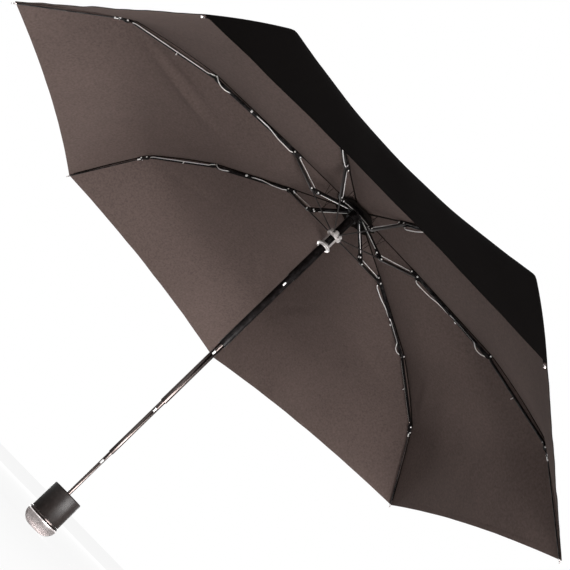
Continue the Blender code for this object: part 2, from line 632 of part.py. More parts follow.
def canopy_seam():
    """Points of the canopy's underside along a rib, each with its share of the scallop."""
    start = canopy_spans()[0][0]
    points = [Vector((CANOPY_HOLE_RADIUS, start.y)), start]
    for near, far, bulge in canopy_spans():
        normal = Vector((near.y - far.y, far.x - near.x)).normalized()
        for step in range(1, SPAN_STEPS + 1):
            share = step / SPAN_STEPS
            points.append(near.lerp(far, share) + normal * bulge * 4 * share * (1 - share))
    return points


def canopy_point(seam, place, index, across):
    """A point of gore `index`: taut between its two seams, dipping between them and drawn in at the
    rim's middle."""
    slope = (seam[-1] - seam[-2]).normalized()
    point = seam[place].copy()
    belly = 4 * across * (1 - across)
    share = (seam[place].x - seam[1].x) / (seam[-1].x - seam[1].x)
    point.y -= GORE_DIP * belly * max(0, 4 * share * (1 - share))
    if place == len(seam) - 1:
        point -= slope * RIM_SCALLOP * belly
    left = rib_azimuth(index)
    right = rib_azimuth(index + 1)
    a = Vector((point.x * math.cos(left), point.x * math.sin(left), point.y))
    b = Vector((point.x * math.cos(right), point.x * math.sin(right), point.y))
    return a.lerp(b, across)


def canopy_mesh():
    """One closed sheet of seven gores with the hole for the cap's stem."""
    bm = bmesh.new()
    seam = canopy_seam()
    columns = RIB_COUNT * GORE_STEPS
    under = []
    over = []
    for column in range(columns):
        index, step = divmod(column, GORE_STEPS)
        lower = [canopy_point(seam, place, index, step / GORE_STEPS) for place in range(len(seam))]
        under.append([bm.verts.new(point) for point in lower])
        over.append([bm.verts.new(point + Vector((0, 0, CANOPY_THICKNESS))) for point in lower])
    for column in range(columns):
        after = (column + 1) % columns
        for place in range(len(seam) - 1):
            for sheet in (under, over):
                bm.faces.new((sheet[column][place], sheet[column][place + 1],
                              sheet[after][place + 1], sheet[after][place]))
        for place in (0, -1):
            bm.faces.new((under[column][place], over[column][place], over[after][place], under[after][place]))
    return mesh_from(bm, "canopy", 30.0)


# ================================================================ the umbrella
def build():
    clear_scene()
    grip = make_material("soft_black_grip", (0.035, 0.03, 0.03), 0.0, 0.45)
    chrome = make_material("polished_chrome", (0.75, 0.73, 0.72), 1.0, 0.12)
    black_steel = make_material("black_plated_steel", (0.03, 0.028, 0.028), 0.9, 0.35)
    bright_steel = make_material("bright_steel", (0.62, 0.6, 0.58), 1.0, 0.28)
    cast_grey = make_material("light_cast_metal", (0.55, 0.52, 0.5), 0.7, 0.4)
    cloth = make_material("dark_cloth", (0.055, 0.048, 0.046), 0.0, 0.85)

    # Handle
    body_bottom = DOME_HEIGHT + RING_HEIGHT + 2 * GAP
    add_object("handle_cap", turned("handle_cap", dome_profile()), chrome)
    spigot = HANDLE_RADIUS - HANDLE_WALL - GAP
    ring_low = DOME_HEIGHT + GAP
    ring_high = ring_low + RING_HEIGHT
    add_object("handle_ring", turned("handle_ring", [
        (spigot + GAP, ring_high), (spigot + GAP, ring_low), (RING_RADIUS, ring_low),
        (RING_RADIUS, ring_high)], closed=True), chrome)
    handle = add_object("handle_body", turned("handle_body", handle_body_profile(body_bottom, handle_top)), grip)

    # Shaft: every tube hangs on the next one in, so each empty is a sliding stage.
    bottoms = []
    top = crown_top
    for shown in TUBE_SHOWN:
        bottoms.append(top - shown)
        top -= shown
    stage = handle
    stages = {}
    for index in reversed(range(len(TUBE_RADII))):
        last = index == len(TUBE_RADII) - 1
        bottom = handle_top - TUBE_SEAT_DEPTH + GAP if last else bottoms[index]
        top = crown_top - CROWN_FLANGE - GAP if index == 0 else bottoms[index - 1] + TUBE_OVERLAP
        if index == 0:
            tooth_top = runner_pivot.y + RUNNER_WINDOW_TOP - GAP
            tooth_height = RUNNER_CATCH_HEIGHT
        else:
            tooth_top = bottoms[index - 1] - CATCH_DROP
            tooth_height = CATCH_HEIGHT
        stages[index] = stage if last else add_empty(f"stage_{index + 1}", stage)
        stage = stages[index]
        steel = black_steel if index < 3 else bright_steel
        add_object(f"tube_{index + 1}", tube_mesh(index, bottom, top, tooth_top, tooth_height), steel, stage)
        reach = RUNNER_SLEEVE_RADIUS if index == 0 else TUBE_RADII[index] + CATCH_REACH
        name = "runner_catch" if index == 0 else f"catch_{index}"
        tooth = tooth_mesh(tube_bore(index), reach, tooth_height, CATCH_WIDTH)
        lie = Matrix.Rotation(catch_azimuth, 4, "Z") @ Matrix.Translation((0, 0, tooth_top))
        add_object(name, tooth, bright_steel, stage, lie)

    # Crown, cap and runner
    add_object("crown", crown_mesh(), black_steel, stage, Matrix.Translation((0, 0, crown_top)))
    cloth_top = GAP + CANOPY_THICKNESS
    cap = turned("top_cap", [
        (0, -CROWN_FLANGE), (CAP_STEM_RADIUS, -CROWN_FLANGE), (CAP_STEM_RADIUS, cloth_top + GAP),
        (CAP_RADIUS, cloth_top + GAP), (CAP_RADIUS, cloth_top + 0.25 * CAP_HEIGHT),
        (0.82 * CAP_RADIUS, cloth_top + 0.6 * CAP_HEIGHT), (0.45 * CAP_RADIUS, cloth_top + 0.92 * CAP_HEIGHT),
        (0, cloth_top + CAP_HEIGHT)])
    add_object("top_cap", cap, black_steel, stage, Matrix.Translation((0, 0, crown_top)))
    runner = add_object("runner", runner_mesh(), cast_grey, stage, Matrix.Translation((0, 0, runner_pivot.y)))
    add_object("canopy", canopy_mesh(), cloth, stage)

    # Ribs: one mesh for each kind of link, seven copies of it
    meshes = {"crown_link": crown_link_mesh(), "stretcher": stretcher_mesh(), "parallel_bar": parallel_bar_mesh(),
              "inner_rib": inner_rib_mesh(), "middle_rib": middle_rib_mesh(), "outer_rib": outer_rib_mesh()}
    places = {"crown_link": (crown_pivot, CROWN_LINK_ANGLE), "stretcher": (runner_pivot, stretcher_angle),
              "parallel_bar": (parallel_rib_end, parallel_angle), "inner_rib": (rib_pin, INNER_RIB_ANGLE),
              "middle_rib": (knee_pin, MIDDLE_RIB_ANGLE), "outer_rib": (heel_pin, OUTER_RIB_ANGLE)}
    carried_by = {"stretcher": "runner", "inner_rib": "stretcher", "parallel_bar": "inner_rib",
                  "middle_rib": "inner_rib", "outer_rib": "middle_rib"}
    finishes = {"crown_link": black_steel, "stretcher": black_steel, "parallel_bar": bright_steel,
                "inner_rib": black_steel, "middle_rib": bright_steel, "outer_rib": black_steel}
    for index in range(RIB_COUNT):
        plane = Matrix.Rotation(rib_azimuth(index), 4, "Z")
        made = {"runner": (runner, Matrix.Translation((0, 0, runner_pivot.y)))}
        for kind in ("crown_link", "stretcher", "inner_rib", "parallel_bar", "middle_rib", "outer_rib"):
            place = plane @ link_matrix(*places[kind])
            carrier, carrier_place = made.get(carried_by.get(kind), (stage, Matrix.Identity(4)))
            thing = add_object(f"{kind}_{index + 1}", meshes[kind], finishes[kind], carrier,
                               carrier_place.inverted() @ place)
            made[kind] = (thing, place)


build()
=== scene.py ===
"""Dresses the CAD frame of a compact folding umbrella: cloth, wires, rivets, finishes and a studio.

Each rib's pieces are drawn in the plane of the rib, (outward, up), or in the frame of the link that
carries them: x along the link, y across it, z towards the cloth, origin on the pin it turns on.
Lengths are in metres and angles in degrees, except where a name or a comment says radians.
"""

import json
import math

import bmesh
import bpy
import numpy as np
from mathutils import Matrix, Vector


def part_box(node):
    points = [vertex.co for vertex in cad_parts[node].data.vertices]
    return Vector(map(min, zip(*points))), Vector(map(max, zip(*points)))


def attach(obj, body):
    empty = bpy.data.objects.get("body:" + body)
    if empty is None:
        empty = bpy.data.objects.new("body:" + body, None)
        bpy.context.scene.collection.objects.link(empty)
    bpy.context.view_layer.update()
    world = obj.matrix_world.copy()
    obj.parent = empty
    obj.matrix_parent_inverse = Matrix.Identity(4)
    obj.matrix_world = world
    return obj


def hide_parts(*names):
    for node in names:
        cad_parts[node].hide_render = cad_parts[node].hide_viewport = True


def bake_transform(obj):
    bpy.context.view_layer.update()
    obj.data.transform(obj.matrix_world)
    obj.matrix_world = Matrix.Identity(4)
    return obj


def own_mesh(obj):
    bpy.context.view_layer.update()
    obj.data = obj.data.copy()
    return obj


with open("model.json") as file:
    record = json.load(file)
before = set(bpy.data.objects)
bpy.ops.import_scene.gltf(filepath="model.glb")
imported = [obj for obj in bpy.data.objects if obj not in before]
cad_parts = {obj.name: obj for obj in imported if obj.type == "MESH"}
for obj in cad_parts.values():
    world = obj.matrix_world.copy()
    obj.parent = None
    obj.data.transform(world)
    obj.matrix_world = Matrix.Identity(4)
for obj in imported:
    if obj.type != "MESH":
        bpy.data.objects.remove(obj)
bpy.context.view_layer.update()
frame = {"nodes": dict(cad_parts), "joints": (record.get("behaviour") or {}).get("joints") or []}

bl_info = {
    "name": "Folding Umbrella Dressing",
    "version": (1, 0, 0),
    "blender": (4, 5, 0),
    "location": "3D View > Sidebar > Umbrella",
    "description": "Cloth, wires, rivets, finishes and a studio for a folding umbrella",
    "category": "Object",
}

MM = 0.001
# Bead at the tip of a rib in the frame, which tells where the tip is.
CAD_BEAD_RADIUS = 2.1 * MM

# Bands of the cloth: the link each rides on, the marks on the seam it runs between, its rows.
BANDS = (
    ("crown", "crown_link", "crown", "inner", 12),
    ("inner", "inner_rib", "inner", "knee", 16),
    ("middle", "middle_rib", "knee", "heel", 22),
    ("outer", "outer_rib", "heel", "rim", 16),
)
COLUMNS_PER_GORE = 60
CENTRE_ROWS = 3
HEM_ROWS = 3
# Steps of the seam line from one mark to the next.
SEAM_STEPS = 24
# Height of the cloth above the crown's top, and how far the clamped centre reaches past its edge.
CROWN_LIFT = 0.45 * MM
CROWN_OVERHANG = 0.3 * MM
# The cloth reaches this far to the outer side of the surface that its rows lie on.
OUTER_SKIN = 0.15 * MM

# The dip grows slowly away from the crown and is deepest a little past the middle of the gore.
DIP_START = 1.5
DIP_PEAK = DIP_START / (DIP_START + 1)
# How far the rows lean outwards in the middle of a gore, as a share of square to the rib.
ROW_LEAN = 0.87
# Folds from a heel joint: share of the half gore they reach across, how far up, and how deep.
FOLD_RAYS = ((0.90, 0.120, -1.0), (0.74, 0.122, 0.9), (0.30, 0.110, -0.35))
FOLD_WIDTH = 9 * MM
FOLD_BELOW_HEEL = 6 * MM
# A fold's width at its start, and how much it gains along its ray, as shares of the fold width.
FOLD_START_WIDTH = 0.7
FOLD_GAIN = 0.3
FOLD_GAIN_END = 1.2
# Parts of its ray over which a fold rises, where it ends, and over which it dies out.
FOLD_RISE = 0.3
FOLD_END = 1.15
FOLD_FADE = 0.5
# Strength of the folds at the first and second rib of each gore; the cloth is tauter on some.
FOLD_STRENGTHS = {
    1: (0.15, 0.2), 2: (0.2, 0.2), 3: (0.2, 0.25), 4: (0.2, 0.2), 5: (0.25, 0.3), 6: (0.3, 0.7),
    7: (0.25, 1.0),
}
# Small puckers along the hem: radians across a gore, shift from gore to gore, height.
PUCKER_WAVES = ((41.0, 1.7, 1.0), (67.0, 2.9, 0.6))
PUCKER_REACH = 30 * MM
# Faint ripples all over the cloth: radians per metre across and along it, shift from gore to gore.
RIPPLE_ACROSS = (55.0, 2.1)
RIPPLE_ALONG = (38.0, 1.3)
SLANT_RIPPLE = (93.0, -61.0, 0.7)
SLANT_RIPPLE_SHARE = 0.5
# The folds and ripples fade out towards the crown over this distance from the shaft.
CALM_REACH = 80 * MM

# The rosette starts just off the crown; its lobes reach further under the ribs than between them.
ROSETTE_GAP = 0.2 * MM
ROSETTE_LOBE = 0.07
ROSETTE_PUCKERS = 21
ROSETTE_PUCKER_HEIGHT = 0.25 * MM
ROSETTE_ROWS = 7

# Rows of the seam allowance's three strips; how far it lies under the seam and its edges below it.
SEAM_ROWS = {"crown": 14, "knee": 40, "heel": 40}
SEAM_BELOW = 0.2 * MM
SEAM_CURL = 0.35 * MM
# The strip stops short of the rim. The seam's points this far on each side of a pin are worked out, then
# left unused.
SEAM_END_GAP = 2 * MM
SEAM_BEND = 9 * MM

# Share of the crown link's length at which the cloth is tied to it. Each loop of thread starts
# this far outward of the knot and passes the link on this side.
TIE_PLACE = 0.66
TIE_LOOPS = ((-1 * MM, 1), (5 * MM, -1))
# Slope of the line from a crown link's rivet, or an inner rib's pin, to its ear.
CROWN_EAR_SLOPE = 190.5
RIB_EAR_SLOPE = 184.6
# The small rivet in the crown's neck sits between these two ribs.
CROWN_RIVET_RIBS = (2, 3)
# Place of the bracket's rivet along the outer rib.
BRACKET_RIVET = 9 * MM
# Rivets, rods and wires are set this far into what holds them, or stand this far off it.
SET_IN = 0.3 * MM
ROD_GAP = 0.3 * MM
WIRE_GAP = 0.1 * MM
# Angles up to which a mesh is shaded smooth: pressed sheet, turned metal and thread, round wire.
PRESSED_ANGLE = 30.0
TURNED_ANGLE = 40.0
BEAD_ANGLE = 50.0
ROUND_ANGLE = 60.0
RIVET_SIDES = 12
# Facets of the frame's own pieces are joined, its edges rounded and shaded smooth up to an angle.
JOIN_DISTANCE = 0.001 * MM
GRIP_EDGE = 0.35 * MM
FRAME_EDGE = 0.08 * MM
ROUNDED_ANGLE = 40.0
FRAME_SMOOTH_ANGLE = 32.0

# Finish of the frame's own pieces, by name or by kind; the rest are bright steel.
FRAME_FINISHES = {
    # The grip's ring is chrome; its dark finish paints the dark reflection it shows.
    "handle_body": "grip", "handle_ring": "dark_chrome", "handle_cap": "chrome",
    "crown": "shaft_black", "top_cap": "black_steel", "runner": "cast_metal",
    "runner_catch": "black_steel", "tube_1": "shaft_black", "tube_2": "shaft_black",
    "tube": "dark_chrome", "crown_link": "black_steel", "stretcher": "dark_nickel",
    "middle_rib": "black_steel",
}
# Cloths: roughness, gloss and how much the colour varies.
CLOTHS = {
    "cloth_inside": (0.85, 0.08, 0.3),
    "cloth_outside": (0.9, 0.01, 0.3),
    "seam_cloth": (0.9, 0.02, 0.15),
    "thread": (0.9, 0.1, 0.2),
}
# Metals and the moulded grip: roughness, how metallic, and what differs from plain metal.
METALS = {
    "black_steel": (0.34, 0.1, {"edge_colour": (0.1, 0.09, 0.09), "edge_amount": 0.3, "gloss": 0.2}),
    "dark_nickel": (0.32, 1.0, {}),
    "shaft_black": (0.30, 0.0, {"edge_colour": (0.05, 0.045, 0.045), "edge_amount": 0.3, "gloss": 0.08}),
    "dark_chrome": (0.2, 1.0, {}),
    "bright_steel": (0.30, 0.3, {}),
    "cast_metal": (0.34, 0.6, {"grain": 260.0, "grain_depth": 0.05}),
    "chrome": (0.22, 1.0, {"grain": 500.0, "grain_depth": 0.0004}),
    "grip": (0.42, 0.0, {"edge_colour": (0.03, 0.024, 0.022), "edge_amount": 0.4, "grain": 700.0,
                         "gloss": 0.22}),
}

# Lamps: where each stands, what it points at, its width and its height.
CANOPY_MIDDLE = (0.0, 0.0, 0.42)
LAMPS = {
    "key": ((-2.0, -1.1, 0.23), CANOPY_MIDDLE, 2.4, 0.42),
    "near": ((-0.82, -0.52, 0.12), (0.1, 0.1, 0.5), 0.9, 0.2),
    "fill": ((-1.6, 1.3, 0.5), CANOPY_MIDDLE, 1.2, 0.8),
    "top": ((-0.6, -0.5, 2.2), CANOPY_MIDDLE, 1.5, 1.5),
    "back": ((1.25, -0.3, 0.1), CANOPY_MIDDLE, 0.8, 0.15),
}
FLOOR_HALF_WIDTH = 6.0
FLOOR_GAP = 0.2 * MM
# Share of the floor that the camera sees as plain white; the rest takes light and shadow.
FLOOR_WHITE = 0.9

joints = {joint["name"]: joint for joint in frame["joints"]}
rib_numbers = sorted(int(name.rsplit("_", 1)[1]) for name in frame["nodes"]
                     if name.startswith("crown_link_"))


# ---------------------------------------------------------------- places taken from the frame
def pivot(kind):
    """A link's pin in the plane of its rib, (outward, up)."""
    x, y, z = joints[f"{kind}_{rib_numbers[0]}_hinge"]["pos_m"]
    return Vector((math.hypot(x, y), z))


def rib_azimuth(number):
    """Direction of a rib round the shaft, in radians; numbers past the last rib go round again."""
    x, y, _ = joints[f"crown_link_{(number - 1) % len(rib_numbers) + 1}_hinge"]["pos_m"]
    return math.atan2(y, x)


def polar(length, angle):
    """A step of a length in a direction of a rib's plane, the angle in degrees."""
    return Vector((length * math.cos(math.radians(angle)), length * math.sin(math.radians(angle))))


def in_space(point, azimuth):
    """A point of a rib's plane, (outward, up), as a point of the row frame."""
    return Vector((point[0] * math.cos(azimuth), point[0] * math.sin(azimuth), point[1]))


def across_rib(azimuth):
    """Unit vector square to a rib's plane."""
    return Vector((-math.sin(azimuth), math.cos(azimuth), 0.0))


def slope_between(near, far):
    """Slope of the line between two points of a rib's plane, in radians."""
    return math.atan2(far.y - near.y, far.x - near.x)


def tip_point():
    """Centre of the bead at the tip of the first rib, which points along +Y."""
    low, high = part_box(f"outer_rib_{rib_numbers[0]}")
    return Vector((high.y - CAD_BEAD_RADIUS, low.z + CAD_BEAD_RADIUS))


def link_angle(kind):
    """Slope of a link's own x axis, in radians, worked out from the pins of the frame."""
    links = bpy.context.scene.umbrella_links
    if kind == "stretcher":
        return slope_between(pivot("stretcher"), pivot("inner_rib"))
    if kind == "crown_link":
        reach = polar(links.stretcher_reach, math.degrees(link_angle("stretcher")))
        return slope_between(pivot("crown_link"), pivot("inner_rib") - reach)
    if kind == "inner_rib":
        lean = math.atan2(links.knee_height, links.inner_rib_length)
        return slope_between(pivot("inner_rib"), pivot("middle_rib")) - lean
    if kind == "middle_rib":
        lean = math.atan2(links.heel_depth, links.middle_rib_length)
        return slope_between(pivot("middle_rib"), pivot("outer_rib")) + lean
    lean = math.atan2(links.outer_rib_rise, links.outer_rib_length)
    return slope_between(pivot("outer_rib"), tip_point()) - lean


def link_frame(kind, number):
    """A link's own frame as a matrix in the row frame."""
    pin = pivot(kind)
    plane = Matrix.Rotation(rib_azimuth(number), 4, "Z")
    return plane @ Matrix.Translation((pin.x, 0, pin.y)) @ Matrix.Rotation(-link_angle(kind), 4, "Y")


# ================================================================ sizes and colours
def length_of(name, description, millimetres):
    return bpy.props.FloatProperty(name=name, description=description, default=millimetres * MM,
                                   min=0.0, unit="LENGTH", precision=5)


def colour_of(name, description, red, green, blue):
    return bpy.props.FloatVectorProperty(name=name, description=description, size=3, subtype="COLOR",
                                         default=(red, green, blue), min=0.0, max=1.0)


def share_of(name, description, value, highest=1.0):
    return bpy.props.FloatProperty(name=name, description=description, default=value,
                                   min=0.0, max=highest, subtype="FACTOR")


def power_of(name, description, watts):
    return bpy.props.FloatProperty(name=name, description=description, default=watts, min=0.0,
                                   unit="POWER")


class UmbrellaClothSettings(bpy.types.PropertyGroup):
    """Sizes of the canopy cloth and what is sewn to it."""

    thickness: length_of("Thickness", "Thickness of the coated cloth", 0.3)
    hole_radius: length_of("Centre hole", "Radius of the hole round the cap's stem", 4.0)
    plate_lift: length_of("Lift over plate", "Height of the cloth above the inner rib's pin", 3.9)
    knee_lift: length_of("Lift over knee", "Height of the cloth above the knee pin", 3.0)
    heel_lift: length_of("Lift over heel", "Height of the cloth above the heel pin", 5.7)
    shoulder_bulge: length_of("Shoulder bulge", "Rise of the seam between knee and heel", 2.5)
    skirt_bulge: length_of("Skirt bulge", "Rise of the seam between heel and rim", 1.5)
    seam_rounding: length_of("Rounding at seams", "How far a bend of the ribs spreads at a seam", 4.0)
    panel_rounding: length_of("Rounding in panels", "How far a bend spreads in the middle of a panel", 27.0)
    dip: length_of("Dip", "How far the cloth sinks between two ribs", 15.0)
    scallop: length_of("Scallop", "How far the rim is drawn in between two ribs", 8.0)
    hem_width: length_of("Hem width", "Width of the folded hem at the rim", 7.0)
    hem_step: length_of("Hem step", "Extra thickness of the folded hem", 0.35)
    fold_depth: length_of("Fold depth", "Depth of the soft tension folds", 4.2)
    ripple_depth: length_of("Ripple depth", "Depth of the faint unevenness all over the cloth", 0.35)
    tape_width: length_of("Seam width", "Width of the seam allowance under each seam", 2.6)
    tape_thickness: length_of("Seam thickness", "Thickness of the seam allowance", 0.3)
    # The rosette's size also covers the shade round the crown, which it paints.
    rosette_radius: length_of("Rosette and shadow radius", "Radius of the reinforcing rosette at the crown", 34.0)
    rosette_drop: length_of("Rosette drop", "How far the rosette lies below the seam's line", 0.9)
    rosette_sag: length_of("Rosette sag", "How far the rosette's edge hangs lower", 3.0)
    thread_radius: length_of("Thread radius", "Radius of the sewing thread of a tie", 0.32)
    inner_keep: share_of("Inner fold share", "Width left to the inner cloth when folded", 0.10)
    middle_keep: share_of("Middle fold share", "Width left to the middle cloth when folded", 0.075)
    outer_keep: share_of("Outer fold share", "Width left to the outer cloth when folded", 0.085)
    crown_keep: share_of("Crown fold share", "Width left to the crown cloth when folded", 0.40)
    rosette_keep: share_of("Rosette fold share", "Width left to the rosette when folded", 0.60)


class UmbrellaLinkSettings(bpy.types.PropertyGroup):
    """Sizes of the rib links, which follow the frame's, and of the small parts set on them."""

    crown_link_length: length_of("Crown link length", "From crown pin to stretcher rivet", 60.5)
    crown_link_half_height: length_of("Crown link half height", "Half height of its channel", 1.6)
    crown_ear_offset: length_of("Crown ear offset", "From stretcher rivet to parallel bar rivet", 10.65)
    rib_ear_offset: length_of("Rib ear offset", "From stretcher pin to parallel bar pin", 10.0)
    inner_rib_length: length_of("Inner rib length", "From stretcher pin to knee pin", 133.1)
    inner_rib_top: length_of("Inner rib height", "Top of the inner rib above its pin", 2.8)
    inner_rib_bottom: length_of("Inner rib depth", "Mouth of the inner rib below its pin", 0.4)
    plate_depth: length_of("Plate depth", "Riveted plate below its pin", 2.8)
    knee_height: length_of("Knee height", "Knee pin above the stretcher pin's line", 3.8)
    middle_rib_length: length_of("Middle rib length", "From knee pin to heel pin", 123.0)
    middle_rib_depth: length_of("Middle rib depth", "Middle rib's side below its knee pin", 2.3)
    heel_depth: length_of("Heel depth", "Heel pin below the knee pin's line", 4.5)
    stretcher_reach: length_of("Stretcher reach", "From crown link rivet to stretcher pin", 50.0)
    middle_half_width: length_of("Middle rib half width", "Half width of the middle rib channel", 1.4)
    middle_wire_radius: length_of("Middle wire radius", "Radius of the wire along the middle rib", 0.55)
    wire_pin_radius: length_of("Wire pin radius", "Radius of the pin that guides the wire", 0.6)
    wire_pin_length: length_of("Wire pin length", "How far that pin stands below the wire", 4.2)
    bracket_length: length_of("Bracket length", "Length of the outer rib's forked bracket", 14.0)
    outer_rod_radius: length_of("Outer rod radius", "Radius of the outer rib's rod", 0.85)
    outer_rib_length: length_of("Outer rib length", "From heel pin to tip", 129.9)
    outer_rib_rise: length_of("Outer rib rise", "Outer rod above its heel pin", 1.8)
    half_width: length_of("Half width", "Half width of a rib channel", 2.2)
    sheet: length_of("Sheet", "Thickness of the bent sheet", 0.5)
    eye_radius: length_of("Eye radius", "Radius of the metal round a pin", 1.8)
    control_radius: length_of("Control rod radius", "Radius of the control rod", 0.62)
    control_drop: length_of("Control rod drop", "Lowest part of the rod below the plate", 1.6)
    rivet_radius: length_of("Rivet radius", "Radius of a rivet head", 1.25)
    rivet_height: length_of("Rivet height", "Height of a rivet head", 0.75)
    crown_rivet_drop: length_of("Crown rivet drop", "Crown rivet below the crown's top", 9.6)
    crown_neck_radius: length_of("Crown neck radius", "Radius of the crown's neck at its rivet", 7.9)
    ferrule_length: length_of("Ferrule length", "Length of the sleeve at the rod's root", 5.0)
    bead_radius: length_of("Bead radius", "Radius of the bead at a rib's tip", 1.1)
    bead_stem_radius: length_of("Bead stem radius", "Radius of the bead's stem on the rod", 0.95)
    # Radius of the bright line that paints a highlight on each crown link.
    painted_highlight_radius: length_of("Painted highlight radius", "Radius of the bare line on a crown link", 0.42)


class UmbrellaColourSettings(bpy.types.PropertyGroup):
    """Colours of the finishes."""

    cloth_inside: colour_of("Cloth inside", "Coated inner side of the cloth", 0.092, 0.067, 0.060)
    cloth_outside: colour_of("Cloth outside", "Black outer side of the cloth", 0.0026, 0.0021, 0.0020)
    # Near-black: the seams' own colour; on the rosette it is also painted shadow round the crown.
    seam_cloth: colour_of("Seam", "Seam allowance and rosette", 0.010, 0.008, 0.007)
    thread: colour_of("Thread", "Sewing thread", 0.016, 0.013, 0.012)
    black_steel: colour_of("Black steel", "Black plated ribs and crown links", 0.004, 0.003, 0.003)
    dark_nickel: colour_of("Dark nickel", "Stretchers", 0.11, 0.102, 0.10)
    shaft_black: colour_of("Black shaft", "Crown and upper tubes", 0.004, 0.003, 0.003)
    # On the grip's ring this dark colour is painted reflection; on the lower tubes it is their own colour.
    dark_chrome: colour_of("Dark chrome", "Lower tubes, and the grip's ring as painted dark reflection", 0.060, 0.049, 0.046)
    bright_steel: colour_of("Bright steel", "Wires, rivets and ferrules", 0.94, 0.91, 0.89)
    cast_metal: colour_of("Cast metal", "Runner", 0.85, 0.80, 0.78)
    chrome: colour_of("Chrome", "Cap of the grip and tips", 0.90, 0.82, 0.81)
    grip: colour_of("Grip", "Body of the grip", 0.012, 0.008, 0.007)
    floor: colour_of("Floor", "Pale floor", 0.90, 0.90, 0.90)


class UmbrellaStageSettings(bpy.types.PropertyGroup):
    """Camera and lamps."""

    camera_place: bpy.props.FloatVectorProperty(
        name="Camera place", description="Where the camera stands", size=3, subtype="TRANSLATION",
        default=(-1.02016, 0.22243, 0.04304), unit="LENGTH")
    camera_turn: bpy.props.FloatVectorProperty(
        name="Camera turn", description="How the camera is turned", size=3, subtype="EULER",
        default=tuple(math.radians(angle) for angle in (116.381, -42.682, -120.953)))
    lens: bpy.props.FloatProperty(name="Lens", description="Focal length in millimetres",
                                  default=56.315, min=10.0, unit="CAMERA")
    key_power: power_of("Key", "Power of the key lamp", 75.0)
    near_power: power_of("Near", "Power of the low lamp near the rim", 10.0)
    fill_power: power_of("Fill", "Power of the fill lamp", 4.0)
    top_power: power_of("Top", "Power of the lamp above", 8.0)
    back_power: power_of("Back", "Power of the low lamp behind", 3.0)
    sky_strength: share_of("Sky", "Strength of the even light all round", 0.14, 2.0)


# ================================================================ meshes
def mesh_from(bm, name, smooth_angle):
    """A mesh of closed surfaces, shaded smooth up to an angle."""
    bmesh.ops.recalc_face_normals(bm, faces=bm.faces)
    mesh = bpy.data.meshes.new(name)
    bm.to_mesh(mesh)
    bm.free()
    mesh.shade_smooth()
    mesh.set_sharp_from_angle(angle=math.radians(smooth_angle))
    return mesh


def new_object(name, data):
    """Adds an object to the scene."""
    thing = bpy.data.objects.new(name, data)
    bpy.context.scene.collection.objects.link(thing)
    return thing


def add_piece(name, mesh, body, *finish_names, matrix=None):
    """Adds a piece to the scene, gives it its finishes and lets it ride on a body."""
    piece = new_object(name, mesh)
    if matrix is not None:
        piece.matrix_world = matrix
    if not mesh.materials:
        for finish in finish_names:
            mesh.materials.append(finishes()[finish])
    if body:
        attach(piece, body)
    return piece


def set_on_ribs(kind, pieces, replaced=None):
    """Sets pieces, given as (name, mesh, finish), on every link of a kind. The one named as replaced
    stands in for the frame's own link."""
    for number in rib_numbers:
        body = f"{kind}_{number}"
        for name, mesh, finish in pieces:
            piece = add_piece(f"{name}_{number}", mesh, body, finish, matrix=link_frame(kind, number))
            if name == replaced:
                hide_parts(body)


def rounded_path(points, radius, steps=4):
    """The corners of a polyline replaced by short curves."""
    corners = [Vector(point) for point in points]
    path = [corners[0]]
    for before, corner, after in zip(corners, corners[1:], corners[2:]):
        into = corner - before
        out = after - corner
        reach = min(radius, 0.45 * into.length, 0.45 * out.length)
        start = corner - into.normalized() * reach
        end = corner + out.normalized() * reach
        for step in range(steps + 1):
            share = step / steps
            path.append(start * (1 - share) ** 2 + corner * 2 * share * (1 - share) + end * share ** 2)
    path.append(corners[-1])
    return path


def join_rings(bm, rings):
    """Closed tube of quads through rings of the same number of corners, with capped ends."""
    count = len(rings[0])
    for near, far in zip(rings, rings[1:]):
        for i in range(count):
            j = (i + 1) % count
            bm.faces.new((near[i], near[j], far[j], far[i]))
    bm.faces.new(rings[0])
    bm.faces.new(rings[-1])


def bar(bm, sections):
    """Bar along x through sections (x, corners), whose corners are (y, z)."""
    join_rings(bm, [[bm.verts.new((x, y, z)) for y, z in corners] for x, corners in sections])


def box_corners(near, far, low, high):
    """Corners (y, z) of a rectangle."""
    return ((near, low), (far, low), (far, high), (near, high))


def sweep(bm, path, radius, sides=10):
    """Round wire along a path, with closed ends."""
    count = len(path)
    runs = [(path[i + 1] - path[i]).normalized() for i in range(count - 1)]
    across = runs[0].orthogonal().normalized()
    rings = []
    for i, point in enumerate(path):
        along = (runs[max(i - 1, 0)] + runs[min(i, count - 2)]).normalized()
        across = (across - along * across.dot(along)).normalized()
        up = along.cross(across)
        rings.append([bm.verts.new(point + (across * math.cos(turn) + up * math.sin(turn)) * radius)
                      for turn in (math.tau * step / sides for step in range(sides))])
    join_rings(bm, rings)


def wire_mesh(name, path, radius, sides=10):
    """Mesh of one round wire along a path."""
    bm = bmesh.new()
    sweep(bm, path, radius, sides)
    return mesh_from(bm, name, ROUND_ANGLE)


def turn_profile(bm, profile, matrix, segments):
    """Solid of revolution about the matrix's z; the profile runs from axis to axis as (radius, height)."""
    rings = []
    for radius, height in profile:
        turns = [math.tau * step / segments for step in range(segments if radius else 1)]
        ring = [Vector((radius * math.cos(turn), radius * math.sin(turn), height)) for turn in turns]
        rings.append([bm.verts.new(matrix @ point) for point in ring])
    for near, far in zip(rings, rings[1:]):
        for i in range(segments):
            j = (i + 1) % segments
            corners = [near[i % len(near)], near[j % len(near)], far[j % len(far)], far[i % len(far)]]
            bm.faces.new(list(dict.fromkeys(corners)))


def turned_mesh(name, profile, matrix, segments, smooth_angle):
    """Mesh of one solid of revolution."""
    bm = bmesh.new()
    turn_profile(bm, profile, matrix, segments)
    return mesh_from(bm, name, smooth_angle)


